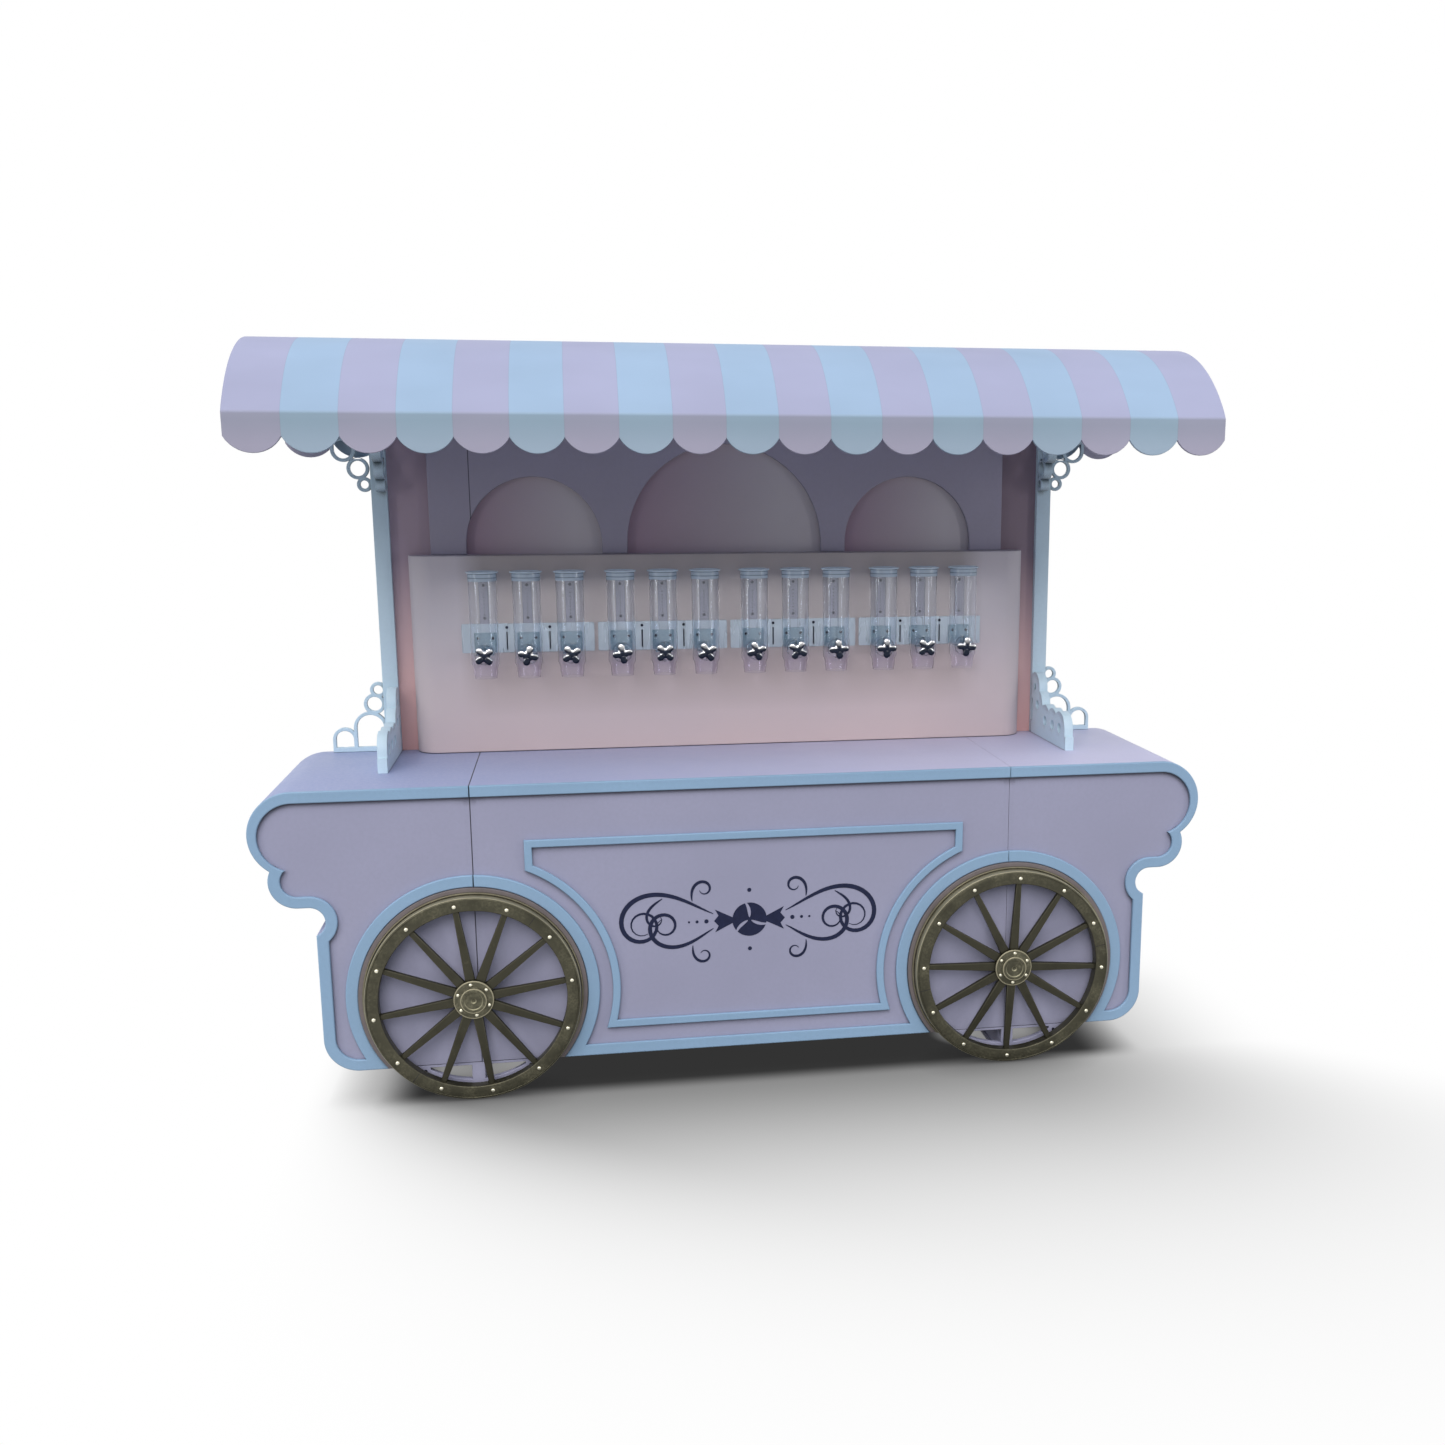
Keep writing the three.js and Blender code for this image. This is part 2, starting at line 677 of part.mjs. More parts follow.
function bracketPlace(outAxis, depthAxis, upAxis, x, y, z) {
  return new THREE.Matrix4().makeBasis(outAxis, depthAxis, upAxis).setPosition(x, y, z);
}

function addPosts() {
  const grow = frontLobeShare * lowBracketHeight;
  const [thin, thick] = [outerBracketThickness, frontBracketThickness];
  const outerLow = ringBracket(lowOuterRingShares, lowOuterReach, lowBracketHeight, thin, 0);
  const outerTop = ringBracket(topRingShares, topBracketReach, topBracketHeight, thin, 0);
  const frontLow = ringBracket(lowFrontRingShares, lowFrontReach, lowBracketHeight, thick, grow);
  const frontTop = ringBracket(topRingShares, topBracketReach, topBracketHeight, thick, 0);
  const up = new THREE.Vector3(0, 0, 1);
  const down = new THREE.Vector3(0, 0, -1);
  const forward = new THREE.Vector3(0, -1, 0);
  const backward = new THREE.Vector3(0, 1, 0);
  const outerY = postFront + (postDepth - outerBracketThickness) / 2;
  for (const [name, side] of [['post_left', -1], ['post_right', 1]]) {
    const outward = new THREE.Vector3(side, 0, 0);
    const x = side * postInner;
    const edge = side * postOuter;
    const [near, far] = side < 0 ? [edge, x] : [x, edge];
    const shaft = block(near, far, postFront, counterDepth, standing, postTop - seat);
    addPiece(
      name,
      joined([
        shaft,
        placed(outerLow, bracketPlace(outward, backward, up, edge, outerY, standing)),
        placed(outerTop, bracketPlace(outward, backward, down, edge, outerY, postTop - seat)),
        placed(frontLow, bracketPlace(forward, outward, up, x, postFront, standing)),
        placed(frontTop, bracketPlace(forward, outward, down, x, postFront, postTop - seat)),
      ]),
      palePaint,
    );
  }
}

// Canopy: barrel roof, scalloped valances front and back, end boards and two ribs over the posts

function roofOutline(inset, low) {
  const rise = crownHeight - foldHeight;
  const half = (canopyBack + canopyFront) / 2;
  const radius = (half ** 2 + rise ** 2) / (2 * rise);
  const z = crownHeight - radius;
  const start = Math.asin((foldHeight - z) / (radius - inset));
  const middle = (canopyBack - canopyFront) / 2;
  const curve = arc(middle, z, radius - inset, start, Math.PI - start, 2 * roofSteps);
  const [right, left] = [curve[0][0], curve[2 * roofSteps][0]];
  return low < foldHeight ? [[right, low], ...curve, [left, low]] : curve;
}

function addCanopy() {
  const roof = boardYZ(roofOutline(0, foldHeight), -canopyHalf, canopyHalf);
  const hollowEnd = canopyHalf - canopyBoard;
  const hollow = boardYZ(roofOutline(canopyBoard, foldHeight - overrun), -hollowEnd, hollowEnd);
  const within = boardYZ(roofOutline(canopyBoard / 2, postTop - overrun), -hollowEnd, hollowEnd);
  const scallopRadius = (stripeWidth ** 2 / 4 + scallopDrop ** 2) / (2 * scallopDrop);
  const swing = Math.asin(stripeWidth / 2 / scallopRadius);
  const valance = [[canopyHalf, foldHeight + bite], [-canopyHalf, foldHeight + bite]];
  for (let i = 0; i < stripeCount; i += 1) {
    const x = (i + 0.5) * stripeWidth - canopyHalf;
    const z = cuspHeight - scallopDrop + scallopRadius;
    const scallop = arc(x, z, scallopRadius, -quarter - swing, swing - quarter, scallopSteps);
    valance.push(...scallop.slice(i ? 1 : 0));
  }
  const front = boardXZ(valance, -canopyFront, canopyBoard - canopyFront);
  const back = boardXZ(valance, canopyBack - canopyBoard, canopyBack);
  const ends = [-1, 1].map((side) => {
    const inner = canopyHalf - canopyBoard;
    const [near, far] = side < 0 ? [-canopyHalf, -inner] : [inner, canopyHalf];
    return block(near, far, -canopyFront, canopyBack, endBoardBottom, foldHeight + bite);
  });
  const ribs = [-1, 1].map((side) => {
    const outer = postInner + ribThickness;
    const [near, far] = side < 0 ? [-outer, -postInner] : [postInner, outer];
    return block(near, far, -canopyFront, canopyBack, postTop, postTop + ribHeight).intersect(within);
  });
  addPiece('canopy', joined([roof.subtract(hollow), front, back, ...ends, ...ribs]), bluePaint);
}

// Dispensers: canister with its drum and outlet, lid, and rotor with the star knob

const canisterX = [];
for (let group = 0; group < groupCount; group += 1) {
  const span = (perGroup - 1) * dispenserPitch;
  const middle = (group - (groupCount - 1) / 2) * (span + groupGap);
  for (let i = 0; i < perGroup; i += 1) canisterX.push(middle - span / 2 + i * dispenserPitch);
}

function canisterSolid() {
  const wallY = tubeStandoff - seat;
  const plateY = wallY - plateThickness - seat;
  const shaftEnd = tubeRadius + bossLength;
  const shaftBore = roundPin(shaftRadius, drumFacets);
  const wallMiddle = tubeRadius - tubeWall / 2;
  const outside = joined([
    rodZ(tubeRadius, 0, 0, tubeBottom, tubeTop, tubeFacets),
    rodZ(outletRadius, 0, 0, outletBottom, tubeBottom + overrun, tubeFacets),
    rodY(bossRadius, 0, drumHeight, -shaftEnd, -drumHalf, drumFacets),
    block(-stripWidth / 2, stripWidth / 2, wallY - stripThickness, wallY, stripBottom, stripTop),
    block(-stripWidth / 4, stripWidth / 4, wallMiddle, wallY - bite, stripBottom, stripTop),
    block(-padHalf, padHalf, plateY - stripThickness, plateY, padBottom, padTop),
    block(-stripWidth / 2, stripWidth / 2, tubeRadius - tubeWall, plateY - bite, padBottom, padTop),
  ]);
  return cut(outside, [
    rodZ(tubeRadius - tubeWall, 0, 0, boreBottom, tubeTop + overrun, tubeFacets),
    rodY(drumRadius, 0, drumHeight, -drumHalf, drumHalf, drumFacets),
    rodZ(outletRadius - tubeWall, 0, 0, outletBottom - overrun, tubeBottom, tubeFacets),
    rodZ(throatRadius, 0, 0, outletBottom - overrun, drumHeight, tubeFacets),
    rodY(shaftBore, 0, drumHeight, -shaftEnd - overrun, overrun - drumHalf, drumFacets),
  ]);
}

function lidSolid() {
  const inner = tubeRadius + seat;
  const under = tubeTop + seat;
  const top = under + lidTop;
  const profile = [
    [0, under],
    [inner, under],
    [inner, under - lidSkirt],
    [lidBand, under - lidSkirt],
    [lidBand, top - lidFlange],
    [lidRadius, top - lidFlange],
    [lidRadius, top],
    [0, top],
  ].map(([r, z]) => new THREE.Vector2(r, z));
  return toSolid(new THREE.LatheGeometry(profile, tubeFacets).rotateX(quarter));
}

function rotorSolid(turn) {
  const reach = drumRadius * Math.cos(Math.PI / drumFacets) - vaneGap;
  const end = drumHalf - seat;
  const knobBack = -tubeRadius - bossLength - seat;
  const shaft = rodY(shaftRadius, 0, 0, knobBack - knobThickness / 2, end, shaftFacets);
  const vanes = [];
  for (let i = 0; i < vaneCount; i += 1) {
    const angle = (Math.PI * i) / vaneCount;
    const [c, s] = [Math.cos(angle), Math.sin(angle)];
    const corner = (r, w) => [r * c - w * s, r * s + w * c];
    const half = vaneThickness / 2;
    const vane = rectangle(-reach, reach, -half, half).map(([r, w]) => corner(r, w));
    vanes.push(boardXZ(vane, -end, end));
  }
  const knobFront = knobBack - knobThickness;
  const star = [rodY(knobHub, 0, 0, knobFront, knobBack, drumFacets)];
  for (let i = 0; i < knobLobes; i += 1) {
    const angle = turn + (fullTurn * i) / knobLobes;
    const [x, z] = [knobReach * Math.cos(angle), knobReach * Math.sin(angle)];
    star.push(rodY(knobLobeRadius, x, z, knobFront + bite, knobBack - bite, shaftFacets));
  }
  return joined([shaft, ...vanes, ...star]);
}

function addDispensers() {
  const canister = canisterSolid();
  const lid = lidSolid();
  canisterX.forEach((x, i) => {
    const number = String(i + 1).padStart(2, '0');
    addPiece(`canister_${number}`, canister, clearPlastic, x, tubeY);
    addPiece(`lid_${number}`, lid, lidPlastic, x, tubeY);
    addPiece(`knob_rotor_${number}`, rotorSolid(knobTurns[i]), chrome, x, tubeY, drumHeight);
  });
  const half = dispenserPitch + plateMargin;
  const slotBottom = plateBottom + slotRise;
  const slots = [-1, 1].map((side) => {
    const x = (side * dispenserPitch) / 2;
    return rectangle(x - slotWidth / 2, x + slotWidth / 2, slotBottom, slotBottom + slotHeight);
  });
  const plate = boardXZ(
    rectangle(-half, half, plateBottom, plateTop),
    boxFront - seat - plateThickness,
    boxFront - seat,
    slots,
  );
  for (let group = 0; group < groupCount; group += 1) {
    addPiece(`group_plate_${group + 1}`, plate, frostedPlastic, canisterX[group * perGroup + 1]);
  }
}

addCabinets();
addFascias();
addOutlineTrim();
addCentreFrame();
addSkids();
addAxles();
addWheels();
addWalls();
addPosts();
addCanopy();
addDispensers();

// The canopy reaches furthest forward and back, so its middle is the cart's own
cart.position.y = (canopyFront - canopyBack) / 2;

export default cart;
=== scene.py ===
"""Candy buffet cart: the finish of every surface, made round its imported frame.

The cart faces -Y and stands on Z = 0. Lengths are metres. Depths are measured from the
front face of the blue trim, and every place comes from the frame or from the sizes below.
"""

import json
import math

import bmesh
import bpy
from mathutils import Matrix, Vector
from mathutils.geometry import delaunay_2d_cdt, tessellate_polygon


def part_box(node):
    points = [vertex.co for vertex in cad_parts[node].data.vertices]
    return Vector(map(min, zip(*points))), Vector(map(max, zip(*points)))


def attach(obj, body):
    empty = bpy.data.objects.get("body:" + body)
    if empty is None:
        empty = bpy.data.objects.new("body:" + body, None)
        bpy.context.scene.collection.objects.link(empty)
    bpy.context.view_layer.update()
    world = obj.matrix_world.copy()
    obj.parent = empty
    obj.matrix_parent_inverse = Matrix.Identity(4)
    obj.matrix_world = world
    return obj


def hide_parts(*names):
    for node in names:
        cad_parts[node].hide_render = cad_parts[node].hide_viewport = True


bl_info = {
    "name": "Candy buffet cart",
    "version": (1, 0, 0),
    "blender": (4, 5, 0),
    "location": "3D View > Sidebar > Cart",
    "description": "Builds the visible pieces of a candy buffet cart and their finishes",
    "category": "Object",
}

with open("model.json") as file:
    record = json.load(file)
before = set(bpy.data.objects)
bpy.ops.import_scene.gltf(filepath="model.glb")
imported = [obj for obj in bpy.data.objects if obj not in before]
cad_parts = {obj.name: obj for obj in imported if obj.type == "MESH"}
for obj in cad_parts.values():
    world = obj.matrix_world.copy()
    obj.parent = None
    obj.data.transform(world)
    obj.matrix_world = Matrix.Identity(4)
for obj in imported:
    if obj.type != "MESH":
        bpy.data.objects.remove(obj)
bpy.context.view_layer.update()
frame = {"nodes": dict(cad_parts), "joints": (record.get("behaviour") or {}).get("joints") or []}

QUARTER = math.pi / 2
FULL_TURN = 2 * math.pi
SIDES = (("left", -1), ("right", 1))
TRIM_LOW, TRIM_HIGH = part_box("outline_trim")
FRONT = TRIM_LOW.y
WALL_LOW, WALL_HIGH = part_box("back_wall")
PANEL_LOW, PANEL_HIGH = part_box("arch_panel")
BOX_LOW, BOX_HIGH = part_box("dispenser_box")
CANOPY_LOW, CANOPY_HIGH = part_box("canopy")
FASCIA_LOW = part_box("fascia_centre")[0]
CENTRE_LOW, CENTRE_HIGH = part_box("cabinet_centre")
WHEEL_LOW, WHEEL_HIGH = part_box("wheel_right")
PLATE_LOW, PLATE_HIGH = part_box("group_plate_1")
CANISTERS = [f"{number:02d}" for number in range(1, 13)]
JOINT_PLACES = {joint["child"]: joint.get("pos_m") for joint in frame["joints"]}
KNOB_PLACES = {number: JOINT_PLACES[f"knob_rotor_{number}"] for number in CANISTERS}
WHEEL_X = (WHEEL_LOW.x + WHEEL_HIGH.x) / 2
WHEEL_Z = (WHEEL_LOW.z + WHEEL_HIGH.z) / 2
SEAM_X = (CENTRE_HIGH.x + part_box("cabinet_right")[0].x) / 2
# The gap between two pieces that lie against each other
CLEAR = 0.0003
# Noise keeps near its middle: this range of it covers most of a surface
MOST = (0.3, 0.7)
# Steps round small turned parts, from the hubs down to the dots
HUB_STEPS, HOUSING_STEPS, BOSS_STEPS, SHAFT_STEPS, SCREW_STEPS, DOT_STEPS = 64, 32, 24, 16, 12, 8


# Sizes and colours that can be changed


def length(name, description, default):
    """A length in metres."""
    return bpy.props.FloatProperty(
        name=name, description=description, default=default, min=0,
        subtype="DISTANCE", unit="LENGTH",
    )


def share(name, description, default):
    """A plain number from 0 up."""
    return bpy.props.FloatProperty(name=name, description=description, default=default, min=0)


def count(name, description, default):
    """A whole number of copies or steps."""
    return bpy.props.IntProperty(name=name, description=description, default=default, min=1)


def colour(name, description, default):
    """A colour, linear RGB."""
    return bpy.props.FloatVectorProperty(
        name=name, description=description, default=default, min=0, max=1, size=3, subtype="COLOR"
    )


class CounterSizes(bpy.types.PropertyGroup):
    """Sizes of the counter body, its trim and the frame on its front."""

    side_x: length("Side", "Half width of the body under its lobes", 1.196)
    big_lobe: length("Big lobe", "Radius of the upper lobe", 0.12)
    small_lobe: length("Small lobe", "Radius of the lower lobe", 0.075)
    cove: length("Cove", "Radius of the hollow under the lobes", 0.042)
    cove_reach: length("Cove reach", "Cove centre past the side", 0.016)
    foot: length("Foot", "Radius of the lower corner", 0.095)
    lobe_drop: share("Lobe drop", "Lobe centres apart, as a share of the two inner radii", 0.942)
    board: length("Board", "Thickness of the body's boards", 0.018)
    trim_width: length("Trim width", "Width of the blue trim", 0.032)
    lobe_trim_width: length("Lobe trim width", "Width of the trim on the big lobe", 0.025)
    arch_outer: length("Arch outer radius", "Outer radius of the arch trim", 0.349)
    arch_inner: length("Arch inner radius", "Inner radius of the arch trim", 0.315)
    frame_width: length("Frame width", "Width of the raised frame", 0.022)
    frame_arch_gap: length("Frame gap", "Hollow side of the frame past the arch trim", 0.037)
    trim_round: length("Trim rounding", "Rounding of the trim's edges", 0.0032)
    body_round: length("Body rounding", "Rounding of the body's edges", 0.0012)
    seam: length("Left seam", "Dark gap at the left seam", 0.0014)
    right_seam: length("Right seam", "Gap at the right seam, which hardly shows", 0.00035)
    arc_steps: count("Arc steps", "Steps in each arc of the outline", 20)


class SkidSizes(bpy.types.PropertyGroup):
    """Sizes of the segment boards behind the wheels."""

    board: length("Board radius", "Radius of the segment board", 0.286)
    window: length("Window radius", "Radius of the windows' outer side", 0.256)
    strut: length("Strut", "Width left between the windows", 0.036)
    edge: length("Edge", "Board left above a window", 0.007)
    window_half: length("Window reach", "How far a window reaches from the middle", 0.132)
    gap: length("Gap", "Gap between the board and the body", 0.002)
    foot_rim: length("Foot rim", "Foot past the strut on each side", 0.006)
    foot_height: length("Foot height", "Height of the foot", 0.012)
    beam_bottom: length("Beam bottom", "Lower side of the beam above the floor", 0.001)
    screw_x: length("Screw place", "Screws from the middle of the board", 0.146)
    screw_z: length("Screw height", "Screws above the floor", 0.076)


class WheelSizes(bpy.types.PropertyGroup):
    """Sizes of the spoked wheels."""

    rim_width: length("Rim width", "Width of the flat rim", 0.039)
    rim_depth: length("Rim depth", "Depth of the rim", 0.034)
    rim_offset: length("Rim offset", "Rim face in front of the trim face", 0.039)
    rim_round: length("Rim rounding", "Rounding of the rim's edges", 0.003)
    spokes: count("Spokes", "Number of spokes", 12)
    spoke_root: length("Spoke root", "Width of a spoke at the hub", 0.028)
    spoke_tip: length("Spoke tip", "Width of a spoke at the rim", 0.016)
    spoke_thickness: length("Spoke thickness", "Depth of a spoke", 0.015)
    spoke_offset: length("Spoke offset", "Spoke face in front of the trim face", 0.031)
    spoke_bite: length("Spoke bite", "Spoke let into hub and rim", 0.006)
    spoke_round: length("Spoke rounding", "Rounding of a spoke's edges", 0.0032)
    hub: length("Hub radius", "Radius of the hub", 0.046)
    flange: length("Flange radius", "Radius of the flange on the hub", 0.055)
    flange_thickness: length("Flange thickness", "Thickness of the flange", 0.007)
    hub_ring: length("Hub ring", "Width of the rubbed rings on the hub's edges", 0.0026)
    cap: length("Cap radius", "Radius of the hub cap", 0.036)
    cap_height: length("Cap height", "Height of the hub cap", 0.01)
    tyre: length("Tyre thickness", "Thickness of the rubbed band round the rim", 0.005)
    liner_gap: length("Liner gap", "Gap between the wheel and the ring in its arch", 0.002)
    liner_lip: length("Liner lip", "Width of the ring's raised lip", 0.0045)
    liner_rise: length("Liner rise", "Height of the ring and its lip in front of the trim", 0.006)
    liner_seat: length("Liner seat", "Gap between the ring and the trim", 0.0006)
    groove_share: share("Groove place", "Groove in from the rim's edge, as a share of its width", 0.13)
    groove_half: length("Groove half width", "Half width of the groove in the rim", 0.001)
    groove_depth: length("Groove depth", "Depth of the groove in the rim", 0.0009)
    cap_step: length("Cap step", "Step and rounding of the hub cap", 0.0022)
    cap_dish: length("Cap dish", "Depth of the hub cap's middle", 0.0048)
    joint: length("Joint width", "Width of the dark joints between the rim's parts", 0.0011)
    joint_rise: length("Joint rise", "Height of the joints before the rim", 0.00015)
    joint_depth: length("Joint depth", "Depth of the joints in the rim", 0.003)
    rim_bolt: length("Rim bolt radius", "Radius of the domed bolts on the rim", 0.0058)
    hub_bolt: length("Hub bolt radius", "Radius of the domed bolts on the hub", 0.0052)
    bolt_height: length("Bolt height", "Height of the domed bolts", 0.004)
    rim_bolt_inset: length("Rim bolt inset", "Rim bolts in from the wheel's edge", 0.019)
    hub_bolt_inset: length("Hub bolt inset", "Hub bolts in from the flange's edge", 0.01)
    hub_bolts: count("Hub bolts", "Number of bolts on the hub", 6)
    left_turn: bpy.props.FloatProperty(
        name="Left turn", description="Turn of the left wheel's spokes", default=math.radians(8.6),
        subtype="ANGLE", unit="ROTATION",
    )
    right_turn: bpy.props.FloatProperty(
        name="Right turn", description="Turn of the right wheel's spokes", default=math.radians(-3),
        subtype="ANGLE", unit="ROTATION",
    )
    segments: count("Segments", "Steps round the rim", 120)


class WallSizes(bpy.types.PropertyGroup):
    """Sizes of the niches and the dispenser box."""

    niche_half: length("Niche half width", "Half width of a side niche", 0.2035)
    niche_x: length("Niche place", "Side niches from the middle", 0.5835)
    middle_half: length("Middle niche half width", "Half width of the middle niche", 0.3025)
    spring: length("Spring", "Straight part of a niche above the box", 0.029)
    niche_round: length("Niche rounding", "Rounding of the niches' edges", 0.0025)
    box_end: length("Box end radius", "Radius of the box's round ends", 0.07)
    box_gap: length("Box gap", "Dark gap under the box", 0.0015)
    box_round: length("Box rounding", "Rounding of the box's upper edge", 0.003)


class PostSizes(bpy.types.PropertyGroup):
    """Sizes of the posts and their ring brackets."""

    width: length("Width", "Width of a post", 0.046)
    depth: length("Depth", "Depth of a post", 0.036)
    ring_wall: length("Ring wall", "Wall of the rings", 0.01)
    outer_thickness: length("Outer bracket", "Thickness of the sideways brackets", 0.015)
    front_thickness: length("Front bracket", "Thickness of the forward brackets", 0.028)
    low_height: length("Low height", "Height of the lower brackets", 0.222)
    low_outer_reach: length("Low outer reach", "Sideways reach of the lower brackets", 0.158)
    low_front_reach: length("Low front reach", "Forward reach of the lower brackets", 0.346)
    top_height: length("Top height", "Height of the upper brackets", 0.16)
    top_reach: length("Top reach", "Reach of the upper brackets", 0.112)
    front_lobe: share("Front lobe", "Solid rim of a forward lobe, as a share of the bracket's height", 0.125)
    rounding: length("Rounding", "Rounding of the brackets' edges", 0.0016)
    ring_steps: count("Ring steps", "Steps round each ring", 40)


class CanopySizes(bpy.types.PropertyGroup):
    """Sizes of the barrel canopy."""

    stripes: count("Stripes", "Number of stripes and scallops", 19)
    board: length("Board", "Thickness of the canopy's board", 0.01)
    fold: length("Fold height", "Height where roof and valance meet", 1.889)
    cusp: length("Cusp height", "Height of the cusps between scallops", 1.829)
    fold_round: length("Fold rounding", "Rounding of the fold", 0.004)
    rim_round: length("Rim rounding", "Rounding of the valance's lower edge", 0.0015)
    gable_inset: length("Gable inset", "End boards inside the roof's end", 0.001)
    gable_bottom: length("Gable bottom", "Lowest level of the end boards", 1.845)
    rib_thickness: length("Rib thickness", "Thickness of the two ribs", 0.028)
    rib_height: length("Rib height", "Height of the two ribs", 0.06)
    scallop_steps: count("Scallop steps", "Steps along each scallop", 14)
    roof_steps: count("Roof steps", "Steps over the roof", 48)


class DispenserSizes(bpy.types.PropertyGroup):
    """Sizes of the dispensers and of the clear plates behind them."""

    tube: length("Tube radius", "Outer radius of a canister", 0.042)
    wall: length("Wall", "Wall of the clear parts", 0.0025)
    tube_bottom: length("Tube bottom", "Lower end of the canisters", 1.166)
    drum_height: length("Drum height", "Height of the drum's axis", 1.209)
    drum: length("Drum radius", "Radius of the drum", 0.03)
    drum_half: length("Drum half length", "Half length of the drum", 0.024)
    outlet: length("Outlet radius", "Radius of the outlet", 0.036)
    boss: length("Boss radius", "Radius of the boss round the shaft", 0.014)
    boss_length: length("Boss length", "Length of the boss past the tube", 0.005)
    shaft: length("Shaft radius", "Radius of the knob's shaft", 0.005)
    vane_thickness: length("Vane thickness", "Thickness of the paddle's vanes", 0.003)
    strip_width: length("Strip width", "Width of the strip behind a canister", 0.028)
    strip_thickness: length("Strip thickness", "Thickness of that strip", 0.003)
    strip_bottom: length("Strip bottom", "Lower end of that strip", 1.262)
    strip_top: length("Strip top", "Upper end of that strip", 1.424)
    pad_half: length("Pad half width", "Half width of the pad on the plate", 0.034)
    pad_bottom: length("Pad bottom", "Pad above the plate's lower edge", 0.0015)
    pad_top: share("Pad top", "Upper end of the pad, as a share of the plate's height", 0.7)
    pad_screw: length("Pad screw", "Screws from the middle of the pad", 0.0225)
    lid_flange: length("Lid flange", "Height of the lid's wide edge", 0.0045)
    lid_lip: length("Lid lip", "Flange past the skirt", 0.003)
    lid_spread: length("Lid spread", "Wide edge past the packed lid", 0.002)
    lid_groove: length("Lid groove", "Depth of the grooves round the skirt", 0.0018)
    knob_arm: length("Knob arm", "Lobe centres from the star knob's axis", 0.0207)
    knob_lobe: length("Knob lobe", "Radius of the star knob's lobes", 0.0104)
    knob_hub: length("Knob hub", "Radius of the star knob's hub", 0.0172)
    knob_cap: length("Knob cap", "Radius of the dark cap in the star knob's middle", 0.0075)
    knob_thickness: length("Knob thickness", "Depth of the star knob", 0.014)
    slot_width: length("Slot width", "Width of a slot in the plates", 0.004)
    slot_height: length("Slot height", "Height of a slot in the plates", 0.055)
    slot_rim: length("Slot rim", "Liners of the slots in front of the plates", 0.0006)
    slot_rise: length("Slot rise", "Slots above the plates' lower edge", 0.008)
    screw: length("Screw radius", "Radius of the small screws", 0.0045)
    screw_inset: length("Screw inset", "Screws in from the upper edges of strips and plates", 0.012)
    strip_screw: length("Strip screw", "Height of the lower screw of each strip", 1.313)
    dot: length("Dot radius", "Radius of the dots along the strips", 0.0019)
    dot_step: length("Dot step", "Distance between two dots", 0.0105)
    dots: count("Dots", "Number of dots on a strip", 7)
    segments: count("Segments", "Steps round a canister", 48)


class CartColours(bpy.types.PropertyGroup):
    """Colours of the cart's finishes."""

    pink: colour("Pink paint", "Front boards", (0.397, 0.397, 0.53))
    # The counter paint is the pink paint made lighter: painted light on the counter top
    counter: colour("Counter paint", "Counter top and the boards behind the front", (0.67, 0.66, 0.85))
    # Painted light: the counter top's open left end, bluer and darker
    counter_left: colour("Left counter paint", "Left end of the counter top", (0.37, 0.43, 0.66))
    wall: colour("Wall paint", "Walls above the counter", (0.62, 0.57, 0.60))
    # Painted bounce light: the walls turn warmer near the counter
    wall_warm: colour("Warm wall paint", "Walls near the counter", (0.77, 0.62, 0.595))
    salmon: colour("Salmon paint", "Back wall beside the box, near the counter", (0.74, 0.42, 0.40))
    # Painted shade: the wall paint made darker for the board with the niches, under the canopy
    panel: colour("Panel paint", "Board with the niches", (0.39, 0.36, 0.45))
    niche: colour("Niche shade", "Shaded side of the niches", (0.40, 0.28, 0.36))
    blue: colour("Blue trim paint", "Trim and frame", (0.32, 0.485, 0.665))
    post: colour("Pale blue paint", "Posts and brackets", (0.66, 0.83, 0.92))
    stripe_pink: colour("Pink stripes", "Pink stripes of the canopy", (0.46, 0.475, 0.65))
    stripe_blue: colour("Blue stripes", "Blue stripes of the canopy", (0.405, 0.555, 0.73))
    bronze: colour("Antique bronze", "Wheels", (0.060, 0.057, 0.038))
    # Rubbed places of the wheels, and on their sharp edges also a painted highlight
    bronze_light: colour("Rubbed bronze", "Rubbed places of the wheels", (0.17, 0.16, 0.105))
    # Partly painted shade, over the tread's own dark colour: the rings in the arches
    band: colour("Worn band", "Rings in the arches", (0.20, 0.17, 0.17))
    # Painted highlight: the bright lips of those rings and the bright edges of the wheels
    lip: colour("Rubbed lip", "Lips of those rings and edges of the wheels", (0.23, 0.21, 0.14))
    bolt: colour("Pale bolts", "Domed bolts of the wheels", (0.80, 0.77, 0.62))
    steel: colour("Steel", "Axles and shafts", (0.52, 0.53, 0.55))
    screw: colour("Dark screws", "Small screws", (0.012, 0.012, 0.025))
    ornament: colour("Navy film", "Ornament on the front", (0.018, 0.022, 0.055))
    clear: colour("Clear plastic", "Canisters", (0.93, 0.95, 0.98))
    frosted: colour("Frosted plastic", "Plates behind the canisters", (0.68, 0.75, 0.81))
    strip: colour("Strip plastic", "Strips behind the canisters", (0.48, 0.45, 0.52))
    outlet: colour("Outlet plastic", "Lower ends of the canisters", (0.90, 0.88, 0.94))
    pad: colour("Pad plastic", "Pads on the plates", (0.25, 0.36, 0.43))
    lid: colour("Lid plastic", "Lids", (0.56, 0.65, 0.74))
    chrome: colour("Chrome", "Star knobs", (0.92, 0.92, 0.93))
    # Painted reflection: the dark on the knobs' undersides and middle caps
    chrome_dark: colour("Dark chrome", "Undersides of the star knobs", (0.02, 0.025, 0.04))


